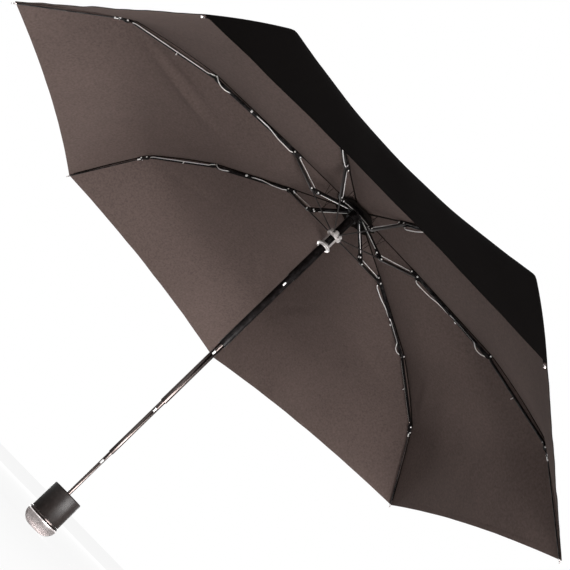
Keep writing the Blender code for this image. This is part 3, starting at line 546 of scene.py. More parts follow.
def rivet_pair(bm, x, z, half_width, radius, height):
    """Two domed heads of a rivet, one on each side of a link, set a little into its sides."""
    profile = [(0.0, -SET_IN), (radius, -SET_IN), (radius, 0.15 * height), (0.86 * radius, 0.55 * height),
               (0.5 * radius, 0.88 * height), (0.0, height)]
    for side in (-1, 1):
        turn = Matrix.Rotation(-side * math.pi / 2, 4, "X")
        turn_profile(bm, profile, Matrix.Translation((x, side * half_width, z)) @ turn, RIVET_SIDES)


# ================================================================ finishes
def feed(tree, socket, value):
    """Links a socket to another node's output, or sets it to a number or a colour."""
    if isinstance(value, bpy.types.NodeSocket):
        tree.links.new(value, socket)
    elif isinstance(value, (int, float)):
        socket.default_value = value
    else:
        socket.default_value = (*value[:3], 1.0)


def add_node(tree, kind, inputs=None, **values):
    """A node with its settings, and its inputs linked or set by name."""
    node = tree.nodes.new(kind)
    for name, value in values.items():
        setattr(node, name, value)
    for name, value in (inputs or {}).items():
        feed(tree, node.inputs[name], value)
    return node


def math_node(tree, operation, first, second=0.0, clamp=False):
    """A Math node between two sockets or numbers; returns its output."""
    node = add_node(tree, "ShaderNodeMath", {0: first, 1: second}, operation=operation, use_clamp=clamp)
    return node.outputs[0]


def mix_colour(tree, share, first, second):
    """A Mix node between two colours; returns its output."""
    node = add_node(tree, "ShaderNodeMix", data_type="RGBA")
    sockets = {socket.identifier: socket for socket in node.inputs}
    for name, value in (("Factor_Float", share), ("A_Color", first), ("B_Color", second)):
        feed(tree, sockets[name], value)
    return next(socket for socket in node.outputs if socket.identifier == "Result_Color")


def noise_node(tree, vector, scale, detail, roughness=0.5):
    """A Noise Texture node; returns its value."""
    inputs = {"Vector": vector, "Scale": scale, "Detail": detail, "Roughness": roughness}
    return add_node(tree, "ShaderNodeTexNoise", inputs).outputs["Fac"]


def ramp(tree, value, low, high):
    """A value stretched so that low becomes 0 and high becomes 1."""
    inputs = {"Value": value, "From Min": low, "From Max": high}
    return add_node(tree, "ShaderNodeMapRange", inputs, clamp=True).outputs["Result"]


def new_group(name, inputs, outputs):
    """A shader node group with named sockets, and its input and output nodes. An input given as
    None is a vector, the others are numbers."""
    group = bpy.data.node_groups.new(name, "ShaderNodeTree")
    for socket, value in inputs.items():
        kind = "NodeSocketVector" if value is None else "NodeSocketFloat"
        made = group.interface.new_socket(name=socket, in_out="INPUT", socket_type=kind)
        if value is not None:
            made.default_value = value
    for socket in outputs:
        group.interface.new_socket(name=socket, in_out="OUTPUT", socket_type="NodeSocketFloat")
    return group, group.nodes.new("NodeGroupInput").outputs, group.nodes.new("NodeGroupOutput").inputs


def weave_group(name):
    """Plain weave from flat cloth coordinates in metres: thread height and a shade between threads."""
    group, given, out = new_group(name, {"Cloth Place": None, "Threads Per Metre": 1800.0},
                                  ("Height", "Shade"))
    split = add_node(group, "ShaderNodeSeparateXYZ", {0: given["Cloth Place"]})
    waves = []
    for axis in ("X", "Y"):
        turns = math_node(group, "MULTIPLY", split.outputs[axis], given["Threads Per Metre"])
        wave = math_node(group, "SINE", math_node(group, "MULTIPLY", turns, math.pi))
        waves.append(math_node(group, "ABSOLUTE", wave))
    height = math_node(group, "MULTIPLY", waves[0], waves[1])
    slub = math_node(group, "MULTIPLY", noise_node(group, given["Cloth Place"], 220.0, 3.0), 0.6)
    feed(group, out["Height"], math_node(group, "ADD", height, slub))
    feed(group, out["Shade"], math_node(group, "ADD", math_node(group, "MULTIPLY", height, 0.5), 0.5))
    return group


def mottle_group(name):
    """Broad and fine unevenness of a surface, as a mask round one half."""
    group, given, out = new_group(name, {"Broad Scale": 6.0, "Fine Scale": 90.0, "Fine Share": 0.35},
                                  ("Mask",))
    place = add_node(group, "ShaderNodeTexCoord").outputs["Object"]
    broad = noise_node(group, place, given["Broad Scale"], 3.0)
    fine = noise_node(group, place, given["Fine Scale"], 4.0, 0.6)
    extra = math_node(group, "MULTIPLY", math_node(group, "SUBTRACT", fine, broad), given["Fine Share"])
    feed(group, out["Mask"], math_node(group, "ADD", broad, extra))
    return group


def wear_group(name):
    """Worn edges and handling marks on metal and plastic: a wear mask and a fine scratch height."""
    group, given, out = new_group(name, {"Edge Amount": 0.5, "Scratch Scale": 900.0},
                                  ("Wear", "Scratches"))
    place = add_node(group, "ShaderNodeTexCoord").outputs["Object"]
    shape = add_node(group, "ShaderNodeNewGeometry")
    edge = ramp(group, shape.outputs["Pointiness"], 0.505, 0.56)
    patches = ramp(group, noise_node(group, place, 160.0, 4.0, 0.6), 0.42, 0.66)
    worn_edge = math_node(group, "MULTIPLY", edge, patches)
    feed(group, out["Wear"], math_node(group, "MULTIPLY", worn_edge, given["Edge Amount"], True))
    feed(group, out["Scratches"], noise_node(group, place, given["Scratch Scale"], 5.0, 0.7))
    return group


SHARED_EFFECTS = {"Plain Weave": weave_group, "Uneven Surface": mottle_group, "Edge Wear": wear_group}


def effect(tree, name, **values):
    """Places a shared effect in a material with its own values; the effect itself is built once."""
    group = bpy.data.node_groups.get(name) or SHARED_EFFECTS[name](name)
    node = add_node(tree, "ShaderNodeGroup", node_tree=group)
    for socket, value in values.items():
        feed(tree, node.inputs[socket.replace("_", " ")], value)
    return node.outputs


def new_material(name):
    """A material, its node tree and its shader."""
    material = bpy.data.materials.new(name)
    material.use_nodes = True
    return material, material.node_tree, material.node_tree.nodes["Principled BSDF"]


def add_bump(tree, shader, height, distance, strength):
    """Lets a height raise and sink a shader's surface."""
    bump = add_node(tree, "ShaderNodeBump", {"Distance": distance, "Strength": strength, "Height": height})
    feed(tree, shader.inputs["Normal"], bump.outputs["Normal"])


def cloth_material(name, colour, roughness, gloss, variation):
    """Woven cloth: weave from the cloth's own flat coordinates and broad uneven colour."""
    material, tree, shader = new_material(name)
    flat = add_node(tree, "ShaderNodeUVMap", uv_map="cloth")
    weave = effect(tree, "Plain Weave", Cloth_Place=flat.outputs["UV"])
    mottle = effect(tree, "Uneven Surface", Broad_Scale=7.0, Fine_Scale=330.0, Fine_Share=0.75)["Mask"]
    darker = [value * (1.0 - variation) for value in colour]
    lighter = [min(1.0, value * (1.0 + variation)) for value in colour]
    uneven = mix_colour(tree, ramp(tree, mottle, 0.3, 0.7), darker, lighter)
    thread_share = math_node(tree, "MULTIPLY", weave["Shade"], 0.12)
    feed(tree, shader.inputs["Base Color"], mix_colour(tree, thread_share, uneven, lighter))
    rough_change = math_node(tree, "MULTIPLY", mottle, 0.12)
    feed(tree, shader.inputs["Roughness"], math_node(tree, "ADD", rough_change, roughness - 0.06))
    feed(tree, shader.inputs["Specular IOR Level"], gloss)
    add_bump(tree, shader, weave["Height"], 0.05 * MM, 0.35)
    return material


def metal_material(name, colour, roughness, metallic, edge_colour=None, edge_amount=0.5, grain=900.0,
                   grain_depth=0.01, gloss=0.5):
    """Metal or plated metal with uneven polish, fine scratches and brightened edges. Grain is the
    scale of the scratches and grain_depth their depth in millimetres."""
    material, tree, shader = new_material(name)
    wear = effect(tree, "Edge Wear", Edge_Amount=edge_amount, Scratch_Scale=grain)
    mottle = effect(tree, "Uneven Surface", Broad_Scale=30.0, Fine_Scale=420.0)["Mask"]
    duller = [value * 0.82 for value in colour]
    polish = mix_colour(tree, ramp(tree, mottle, 0.35, 0.7), duller, colour)
    edge = edge_colour or [min(1.0, value * 1.25) for value in colour]
    feed(tree, shader.inputs["Base Color"], mix_colour(tree, wear["Wear"], polish, edge))
    rough_change = math_node(tree, "MULTIPLY", mottle, 0.5 * roughness)
    feed(tree, shader.inputs["Roughness"], math_node(tree, "ADD", rough_change, 0.75 * roughness))
    feed(tree, shader.inputs["Metallic"], metallic)
    feed(tree, shader.inputs["Specular IOR Level"], gloss)
    add_bump(tree, shader, wear["Scratches"], grain_depth * MM, 0.4)
    return material


def finishes():
    """Every finish of the umbrella by name, made once."""
    made = {material["finish"]: material for material in bpy.data.materials if "finish" in material}
    if made:
        return made
    colours = bpy.context.scene.umbrella_colours
    for name, values in CLOTHS.items():
        made[name] = cloth_material(name, getattr(colours, name), *values)
    for name, (roughness, metallic, others) in METALS.items():
        made[name] = metal_material(name, getattr(colours, name), roughness, metallic, **others)
    for name, material in made.items():
        material["finish"] = name
    return made


# ================================================================ canopy cloth
def seam_line(cloth):
    """The cloth's line over a rib as points (outward, up) from the centre hole to the rim, how far
    along the line each of them lies, and the places of the marks that the bands run between."""
    crown_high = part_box("crown")[1]
    canopy_low, canopy_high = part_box("canopy")
    level = crown_high.z + CROWN_LIFT
    crown_edge = Vector((crown_high.y + CROWN_OVERHANG, level))
    inner_normal = math.degrees(link_angle("inner_rib")) + 90
    plate = pivot("inner_rib") + polar(cloth.plate_lift, inner_normal)
    knee = pivot("middle_rib") + polar(cloth.knee_lift, inner_normal)
    heel_normal = math.degrees(link_angle("middle_rib") + link_angle("outer_rib")) / 2 + 90
    heel = pivot("outer_rib") + polar(cloth.heel_lift, heel_normal)
    rim = Vector((canopy_high.y, canopy_low.z + cloth.thickness))
    points = [Vector((cloth.hole_radius, level)), crown_edge]
    marks = {"hole": 0, "crown": 1}
    for name, near, far, bulge in (("inner", crown_edge, plate, 0.0), ("knee", plate, knee, 0.0),
                                   ("heel", knee, heel, cloth.shoulder_bulge),
                                   ("rim", heel, rim, cloth.skirt_bulge)):
        normal = Vector((near.y - far.y, far.x - near.x)).normalized()
        for step in range(1, SEAM_STEPS + 1):
            share = step / SEAM_STEPS
            points.append(near.lerp(far, share) + normal * bulge * 4 * share * (1 - share))
        marks[name] = len(points) - 1
    line = np.array([tuple(point) for point in points])
    along = np.concatenate([[0.0], np.cumsum(np.linalg.norm(np.diff(line, axis=0), axis=1))])
    return line, along, {name: float(along[index]) for name, index in marks.items()}


def rounded_line(line, along, places, spread):
    """The seam line at the given places, its bends spread over a distance; its ends stay put."""
    if spread <= 0:
        return np.stack([np.interp(places, along, line[:, axis]) for axis in (0, 1)], axis=-1)
    total = along[-1]
    # Each point is a mean of its neighbours, weighted by a bell that reaches two spreads each way.
    shares = np.linspace(-2.0, 2.0, 17)
    weights = np.exp(-0.5 * shares ** 2)
    weights /= weights.sum()
    result = np.zeros((len(places), 2))
    room = np.minimum(np.maximum(places, 0.0), np.maximum(total - places, 0.0))
    reach = np.minimum(spread, 0.5 * room)
    for share, weight in zip(shares, weights):
        there = np.clip(places + share * reach, 0.0, total)
        for axis in (0, 1):
            result[:, axis] += weight * np.interp(there, along, line[:, axis])
    return result


def grid_normals(grid):
    """Outward unit normals of a grid of points."""
    normal = np.cross(np.gradient(grid, axis=0), np.gradient(grid, axis=1))
    normal /= np.maximum(np.linalg.norm(normal, axis=2, keepdims=True), 1e-12)
    return -normal if normal[:, :, 2].sum() < 0 else normal


class ClothSurface:
    """The open canopy: a point for every gore, place along the seam and share across the gore."""

    def __init__(self):
        self.cloth = bpy.context.scene.umbrella_cloth
        self.line, self.along, self.marks = seam_line(self.cloth)
        self.half_angle = math.pi / len(rib_numbers)

    def rows(self):
        """Places along the seam of every row of vertices, and the first row of each band."""
        marks, hem = self.marks, self.cloth.hem_width
        rows = list(np.linspace(marks["hole"], marks["crown"], CENTRE_ROWS))
        starts = []
        for _, _, near, far, steps in BANDS:
            starts.append(len(rows) - 1)
            # The last band ends just short of the hem, whose rows step down to its thicker cloth.
            end = marks["rim"] - hem - self.cloth.thickness if far == "rim" else marks[far]
            rows += list(np.linspace(marks[near], end, steps + 1))[1:]
        rows += [marks["rim"] - hem, marks["rim"] - 0.5 * hem, marks["rim"]]
        return np.array(rows), starts + [len(rows) - 1]

    def level_rows(self, rows, share):
        """Places of the rows at a share across a gore. The rows where the bands meet run square to
        the nearer rib, so that a folded band ends level with its rib's pins."""
        near = min(share, 1 - share)
        lean = 1 / (1 - near * (1 - math.cos(2 * self.half_angle))) - 1
        marks = self.marks
        centre = [marks["hole"], marks["crown"]]
        leaning = [marks["inner"], marks["knee"], marks["heel"]]
        hem = [marks["rim"] - self.cloth.hem_width, marks["rim"]]
        moved = [place * (1 + ROW_LEAN * lean) for place in leaning]
        return np.interp(rows, centre + leaning + hem, centre + moved + hem)

    def heel_folds(self, gore, sideways, along):
        """Height of the folds that fan out from each heel joint towards the middle of the panel."""
        heel = self.marks["heel"]
        half_width = np.interp(heel, self.along, self.line[:, 0]) * math.sin(self.half_angle)
        height = np.zeros(np.broadcast(sideways, along).shape)
        for side, strength in zip((1, -1), reversed(FOLD_STRENGTHS[gore])):
            start = np.array([side * half_width, heel + FOLD_BELOW_HEEL])
            for reach_in, reach_up, depth in FOLD_RAYS:
                ray = np.array([side * half_width * (1 - reach_in), heel - reach_up]) - start
                length = np.linalg.norm(ray)
                ray /= length
                ahead = ((sideways - start[0]) * ray[0] + (along - start[1]) * ray[1]) / length
                aside = (sideways - start[0]) * ray[1] - (along - start[1]) * ray[0]
                # A fold widens along its ray, rises over its first part and dies out past its end.
                width = FOLD_WIDTH * (FOLD_START_WIDTH + FOLD_GAIN * np.clip(ahead, 0, FOLD_GAIN_END))
                rise = np.clip(ahead / FOLD_RISE, 0, 1) * np.clip((FOLD_END - ahead) / FOLD_FADE, 0, 1)
                height += strength * depth * self.cloth.fold_depth * rise * np.exp(-(aside / width) ** 2)
        return height

    def folds(self, gore, across, along):
        """Height of the cloth's soft folds, puckers and ripples, nil at the seams."""
        depth = self.cloth.ripple_depth
        reach = np.interp(along, self.along, self.line[:, 0])
        sideways = (across - 0.5) * 2 * reach * math.sin(self.half_angle)
        height = self.heel_folds(gore, sideways, along)
        to_rim = (self.marks["rim"] - along) / PUCKER_REACH
        pucker = sum(size * np.sin(across * turns + gore * shift) for turns, shift, size in PUCKER_WAVES)
        height += 0.5 * depth * pucker * np.exp(-np.clip(to_rim, 0, 10) ** 2)
        ripple = np.sin(sideways * RIPPLE_ACROSS[0] + gore * RIPPLE_ACROSS[1])
        ripple = ripple * np.sin(along * RIPPLE_ALONG[0] + gore * RIPPLE_ALONG[1])
        slant_across, slant_along, shift = SLANT_RIPPLE
        slant = np.sin(sideways * slant_across + along * slant_along + gore * shift)
        height += depth * (ripple + SLANT_RIPPLE_SHARE * slant)
        away_from_seams = np.sin(math.pi * np.clip(across, 0, 1)) ** 0.5
        return height * away_from_seams * np.clip(reach / CALM_REACH, 0, 1)

    def points(self, gore, across, rows):
        """Grid of points without folds, rows by columns, for shares across one gore."""
        azimuths = rib_azimuth(gore), rib_azimuth(gore + 1)
        grid = np.zeros((len(rows), len(across), 3))
        crown, heel, rim = (self.marks[name] for name in ("crown", "heel", "rim"))
        cloth = self.cloth
        for column, share in enumerate(across):
            places = self.level_rows(rows, share)
            out = np.clip((places - crown) / (rim - crown), 0.0, 1.0)
            sink = cloth.dip * out ** DIP_START * (1 - out) / (DIP_PEAK ** DIP_START * (1 - DIP_PEAK))
            belly = 4 * share * (1 - share)
            drawn = places - cloth.scallop * belly * np.clip((places - heel) / (rim - heel), 0, 1)
            spread = cloth.seam_rounding + (cloth.panel_rounding - cloth.seam_rounding) * belly
            flat = rounded_line(self.line, self.along, drawn, spread)
            for azimuth, weight in zip(azimuths, (1 - share, share)):
                grid[:, column, 0] += weight * flat[:, 0] * math.cos(azimuth)
                grid[:, column, 1] += weight * flat[:, 0] * math.sin(azimuth)
            grid[:, column, 2] = flat[:, 1] - sink * belly
        return grid

    def gore(self, gore):
        """(points, normals, flat places, first rows of the bands) of a whole gore with its folds."""
        rows, starts = self.rows()
        across = np.linspace(0.0, 1.0, COLUMNS_PER_GORE + 1)
        grid = self.points(gore, across, rows)
        places = np.stack([self.level_rows(rows, share) for share in across], axis=1)
        lift = self.folds(gore, across[None, :], places)
        grid = grid + grid_normals(grid) * lift[:, :, None]
        reach = np.interp(places, self.along, self.line[:, 0])
        sideways = (across[None, :] - 0.5) * 2 * reach * math.sin(self.half_angle)
        return grid, grid_normals(grid), np.stack([sideways, places], axis=-1), starts


def cloth_shell(name, points, normals, flat, thickness):
    """A closed thin sheet round a grid of points: inside below it, outside above it, edges between.
    The thickness may differ from row to row, and what is extra lies on the inner side."""
    rows, columns = points.shape[:2]
    depth = np.broadcast_to(np.asarray(thickness).reshape(-1, 1), (rows, columns))
    inner = points - normals * (depth - OUTER_SKIN)[:, :, None]
    outer = points + normals * OUTER_SKIN
    vertices = np.concatenate([inner.reshape(-1, 3), outer.reshape(-1, 3)])
    above = rows * columns
    # Each face has its side: 1 outside, -1 inside, 0 along an edge.
    faces, sides = [], []
    for row in range(rows - 1):
        for column in range(columns - 1):
            a = row * columns + column
            quad = [a, a + 1, a + columns + 1, a + columns]
            faces += [[above + corner for corner in quad], quad[:1] + quad[:0:-1]]
            sides += [1, -1]
    border = [(0, c) for c in range(columns - 1)] + [(r, columns - 1) for r in range(rows - 1)]
    border += [(rows - 1, c) for c in range(columns - 1, 0, -1)] + [(r, 0) for r in range(rows - 1, 0, -1)]
    around = [row * columns + column for row, column in border]
    for a, b in zip(around, around[1:] + around[:1]):
        faces.append([a, b, above + b, above + a])
        sides.append(0)
    mesh = bpy.data.meshes.new(name)
    mesh.from_pydata(vertices.tolist(), [], faces)
    mesh.update()
    volume = bmesh.new()
    volume.from_mesh(mesh)
    flipped = volume.calc_volume(signed=True) < 0
    volume.free()
    if flipped:
        mesh.flip_normals()
    layer = mesh.uv_layers.new(name="cloth")
    corners = [loop.vertex_index for loop in mesh.loops]
    shading = []
    for polygon, side in zip(mesh.polygons, sides):
        polygon.material_index = 0 if side == -1 else 1
        polygon.use_smooth = True
        for loop in polygon.loop_indices:
            row, column = divmod(corners[loop] % above, columns)
            layer.data[loop].uv = flat[row, column]
            shading.append(tuple(side * normals[row, column]) if side else tuple(polygon.normal))
    mesh.normals_split_custom_set(shading)
    return mesh


class UMBRELLA_OT_canopy(bpy.types.Operator):
    """Builds the canopy: seven sewn gores, each in the bands that fold with the rib links."""

    bl_idname = "umbrella.canopy"
    bl_label = "Canopy Cloth"

    def execute(self, context):
        surface = ClothSurface()
        cloth = surface.cloth
        half = COLUMNS_PER_GORE // 2
        for gore in rib_numbers:
            points, normals, flat, starts = surface.gore(gore)
            thickness = np.full(len(points), cloth.thickness)
            thickness[-HEM_ROWS:] += cloth.hem_step
            # Each gore is cut down its middle: half "a" folds with its first rib, "b" with the next.
            for columns, rib, letter in ((slice(0, half + 1), gore, "a"),
                                         (slice(half, None), gore % len(rib_numbers) + 1, "b")):
                for (band, link, _, _, _), start, end in zip(BANDS, starts, starts[1:]):
                    part = slice(start, end + 1), columns
                    name = f"canopy_{band}_{rib}{letter}"
                    mesh = cloth_shell(name, points[part], normals[part], flat[part],
                                       thickness[start:end + 1])
                    piece = add_piece(name, mesh, f"{link}_{rib}", "cloth_inside", "cloth_outside")
                    keep = getattr(cloth, f"{band}_keep")
                    self.fold(piece, points[part], link, rib, letter == "a", keep)
                    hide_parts("canopy")
        return {"FINISHED"}

    def fold(self, piece, points, link, rib, seam_first, keep):
        """Works out a half band's link direction and the way from its seam to its middle, square to the
        link, and gives the piece its own mesh.
        """
        slope, azimuth = link_angle(link), rib_azimuth(rib)
        along = Vector((math.cos(slope) * math.cos(azimuth), math.cos(slope) * math.sin(azimuth),
                        math.sin(slope)))
        seam, middle = (points[:, 0], points[:, -1]) if seam_first else (points[:, -1], points[:, 0])
        away = Vector((middle - seam).mean(axis=0))
        away = (away - along * away.dot(along)).normalized()
        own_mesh(piece)


class UMBRELLA_OT_canopy_centre(bpy.types.Operator):
    """Builds the clamped centre of the canopy and the reinforcing rosette sewn under it. The rosette's
    near-black cloth and wide reach also paint the shadow round the crown.
    """

    bl_idname = "umbrella.canopy_centre"
    bl_label = "Canopy Centre"

    def execute(self, context):
        surface = ClothSurface()
        self.clamped_centre(surface)
        for number in rib_numbers:
            self.rosette_lobe(surface, number)
        return {"FINISHED"}

    def clamped_centre(self, surface):
        """The flat ring of cloth between the crown and the cap."""
        rings = []
        for gore in rib_numbers:
            points, _, _, starts = surface.gore(gore)
            rings.append(points[:starts[0] + 1, :-1])
        rings.append(rings[0][:, :1])
        points = np.concatenate(rings, axis=1)
        up = np.zeros_like(points)
        up[:, :, 2] = 1.0
        thickness = np.full(len(points), surface.cloth.thickness)
        mesh = cloth_shell("canopy_centre", points, up, points[:, :, :2], thickness)
        centre = add_piece("canopy_centre", mesh, "top_shaft", "cloth_inside", "cloth_outside")
        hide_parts("canopy")

    def rosette_lobe(self, surface, number):
        """The rosette's lobe under a rib, which folds with the crown link. It is partly the real rosette
        and partly painted shadow under the crown.
        """
        cloth = surface.cloth
        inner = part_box("crown")[1].y + ROSETTE_GAP
        shares = np.linspace(0.0, 1.0, ROSETTE_ROWS)
        turns = np.linspace(-surface.half_angle, surface.half_angle, COLUMNS_PER_GORE // 2 + 1)
        lobe = np.zeros((len(shares), len(turns), 3))
        for column, turn in enumerate(turns):
            azimuth = rib_azimuth(number) + turn
            lobe_reach = 1 - ROSETTE_LOBE + ROSETTE_LOBE * math.cos(len(rib_numbers) * turn)
            for row, share in enumerate(shares):
                radius = inner + (cloth.rosette_radius * lobe_reach - inner) * share
                seam_height = np.interp(radius, surface.line[:, 0], surface.line[:, 1])
                pucker = ROSETTE_PUCKER_HEIGHT * math.sin(azimuth * ROSETTE_PUCKERS) * share
                height = seam_height - cloth.rosette_drop - cloth.rosette_sag * share + pucker
                lobe[row, column] = (radius * math.cos(azimuth), radius * math.sin(azimuth), height)
        normals = np.zeros_like(lobe)
        normals[:, :, 2] = 1.0
        thickness = np.full(len(shares), cloth.thickness)
        # Near-black cloth: the real rosette, and painted shadow round the crown.
        mesh = cloth_shell("crown_rosette", lobe, normals, lobe[:, :, :2], thickness)
        piece = add_piece(f"crown_rosette_{number}", mesh, f"crown_link_{number}",
                          "seam_cloth", "seam_cloth")
        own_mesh(piece)


class UMBRELLA_OT_seams(bpy.types.Operator):
    """Builds the seam allowance under each seam, from the crown to the rim."""

    bl_idname = "umbrella.seams"
    bl_label = "Seams"

    def execute(self, context):
        surface = ClothSurface()
        marks = surface.marks
        middle = 0.5 * (marks["knee"] + marks["heel"])
        for number in rib_numbers:
            crown = self.strip(surface, "crown", number, marks["crown"], marks["inner"],
                               f"crown_link_{number}")
            self.declare(surface, crown, number, marks["inner"] - marks["crown"])
            # The other two strips bend over the knee and over the heel.
            for name, start, end, near, far in (
                    ("knee", marks["inner"], middle, "inner_rib", "middle_rib"),
                    ("heel", middle, marks["rim"] - SEAM_END_GAP, "middle_rib", "outer_rib")):
                strip = self.strip(surface, name, number, start, end)
                at = np.array([marks[name] - SEAM_BEND, marks[name] + SEAM_BEND])
                ends = [tuple(in_space(point, rib_azimuth(number)))
                        for point in rounded_line(surface.line, surface.along, at, 0.0)]
                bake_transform(strip)
                self.declare(surface, strip, number, end - start)
        return {"FINISHED"}

    def strip(self, surface, name, number, start, end, body=None):
        """A narrow strip of cloth under the seam, its edges turned down a little."""
        cloth = surface.cloth
        azimuth = rib_azimuth(number)
        places = np.linspace(start, end, SEAM_ROWS[name] + 1)
        line = rounded_line(surface.line, surface.along, places, cloth.seam_rounding)
        slope = np.gradient(line, axis=0)
        normal = np.stack([-slope[:, 1], slope[:, 0]], axis=1)
        normal /= np.linalg.norm(normal, axis=1, keepdims=True)
        under = line - normal * SEAM_BELOW
        shares = (-0.5, 0.0, 0.5)
        grid = np.zeros((len(places), len(shares), 3))
        normals = np.zeros_like(grid)
        flat = np.zeros((len(places), len(shares), 2))
        for row, place in enumerate(places):
            up = in_space(normal[row], azimuth)
            for column, share in enumerate(shares):
                drop = SEAM_CURL * (2 * share) ** 2
                aside = across_rib(azimuth) * share * cloth.tape_width
                grid[row, column] = in_space(under[row], azimuth) + aside - up * drop
                normals[row, column] = up
                flat[row, column] = share * cloth.tape_width, place
        thickness = np.full(len(places), cloth.tape_thickness)
        mesh = cloth_shell(f"seam_{name}", grid, normals, flat, thickness)
        return add_piece(f"seam_{name}_{number}", mesh, body, "seam_cloth", "seam_cloth")

    def declare(self, surface, piece, number, length):
        """Takes a strip and its length, and does nothing with them. Declares a strip, which is
        narrower than a sheet may be, by its true or its least area.
        """


class UMBRELLA_OT_ties(bpy.types.Operator):
    """Ties each crown link to the seam above it with two loops of thread."""

    bl_idname = "umbrella.ties"
    bl_label = "Thread Ties"

    def execute(self, context):
        surface = ClothSurface()
        links = context.scene.umbrella_links
        slope = math.degrees(link_angle("crown_link"))
        knot = pivot("crown_link") + polar(TIE_PLACE * links.crown_link_length, slope)
        for number in rib_numbers:
            bm = bmesh.new()
            for shift, side in TIE_LOOPS:
                stitch = knot.x + shift
                height = np.interp(stitch, surface.line[:, 0], surface.line[:, 1])
                # From the seam, round the side of the link, to the knot under it.
                path = [(stitch, 0.6 * side * MM, height - 0.5 * MM),
                        (0.5 * (stitch + knot.x), 1.8 * side * MM, 0.5 * (height + knot.y)),
                        (knot.x, 2.5 * side * MM, knot.y - 1.0 * MM), (knot.x, 0.0, knot.y - 2.0 * MM)]
                sweep(bm, rounded_path(path, 3 * MM), surface.cloth.thread_radius, 6)
            plane = Matrix.Rotation(rib_azimuth(number), 4, "Z")
            loops = mesh_from(bm, "tie", TURNED_ANGLE)
            add_piece(f"tie_{number}", loops, f"crown_link_{number}", "thread", matrix=plane)
        return {"FINISHED"}


# ================================================================ rib hardware
def inner_rib_channel(links):
    """Pressed channel of the inner rib: sloped nose, riveted plate, plain run and knee ears. Two
    side walls run all the way; the web that joins them is open at both ends for the pins."""
    eye = links.eye_radius
    top, low, mouth = links.inner_rib_top, -links.plate_depth, -links.inner_rib_bottom
    ear, length, knee = links.rib_ear_offset, links.inner_rib_length, links.knee_height
    half = links.half_width
    inner = half - links.sheet
    fillet = 0.45 * links.sheet
    # Sections of the walls (along, bottom, top), before, along and after the web.
    nose = [(-ear - eye, low + 0.8 * MM, 0.6 * top), (-ear - 0.4 * eye, low, top),
            (-ear + 2 * eye, low, top)]
    web = [(-ear + 2.2 * eye, low, top), (eye, low, top), (2 * eye, 0.5 * (low + mouth), top),
           (3 * eye, mouth, top), (length - 4.2 * eye, mouth, top)]
    ears = [(length - 4 * eye, mouth, top), (length - 2 * eye, mouth, 1.3 * top),
            (length - eye, mouth, knee + eye), (length + 0.4 * eye, 0.4 * top, knee + eye),
            (length + eye, 0.8 * top, knee + 0.6 * eye)]
    bm = bmesh.new()
    for side in (-1, 1):
        bar(bm, [(x, ((side * inner, bottom), (side * half, bottom), (side * half, high - fillet),
                      (side * (half - fillet), high), (side * inner, high)))
                 for x, bottom, high in nose + web + ears])
    bar(bm, [(x, box_corners(-inner, inner, high - links.sheet, high)) for x, _, high in web])
    return mesh_from(bm, "inner_rib_channel", PRESSED_ANGLE)


def control_rod_path(links, beside, inside, tucked, mid):
    """The control rod from the stretcher's pin, along the outside of the channel, into it at its
    middle, out again under the knee and up to the middle rib."""
    low = -links.plate_depth - links.control_drop
    length, knee = links.inner_rib_length, links.knee_height
    start = [(2.0 * MM, inside, low + 1.9 * MM), (3.2 * MM, beside, low + 0.9 * MM),
             (6.5 * MM, beside, low)]
    # Stations further along: share of the rib's length, sideways, height.
    run = [(0.20, beside, low + 1.2 * MM), (0.33, beside, mid - 1.2 * MM),
           (0.44, beside, mid - 0.9 * MM), (0.52, tucked, mid), (0.80, tucked, mid),
           (0.83, inside, mid - 2.4 * MM),
           (0.865, beside, mid - 4.2 * MM), (0.92, beside, mid - 4.0 * MM),
           (0.965, beside, mid - 1.2 * MM), (0.99, beside, knee - 0.8 * MM),
           (0.998, inside, knee - 0.4 * MM)]
    return rounded_path(start + [(share * length, y, z) for share, y, z in run], 4 * MM, 5)


class UMBRELLA_OT_inner_ribs(bpy.types.Operator):
    """Builds the inner rib channels, the cranked control rods beside them and the rods' guides."""

    bl_idname = "umbrella.inner_ribs"
    bl_label = "Inner Ribs"

    def execute(self, context):
        links = context.scene.umbrella_links
        length, radius = links.inner_rib_length, links.control_radius
        beside = links.half_width + ROD_GAP + radius
        inside = links.half_width - SET_IN
        tucked = inside - links.sheet - radius
        mid = 0.5 * (links.inner_rib_top - links.inner_rib_bottom)
        rod = wire_mesh("control_rod", control_rod_path(links, beside, inside, tucked, mid), radius)
        bm = bmesh.new()
        corners = box_corners(inside, beside + radius + 0.25 * MM, mid - 2.0 * MM, mid + 0.4 * MM)
        bar(bm, [(0.545 * length, corners), (0.565 * length, corners)])
        guide = mesh_from(bm, "rod_guide", PRESSED_ANGLE)
        set_on_ribs("inner_rib", (("rib_channel", inner_rib_channel(links), "black_steel"),
                                  ("control_rod", rod, "bright_steel"),
                                  ("rod_guide", guide, "bright_steel")), "rib_channel")
        return {"FINISHED"}


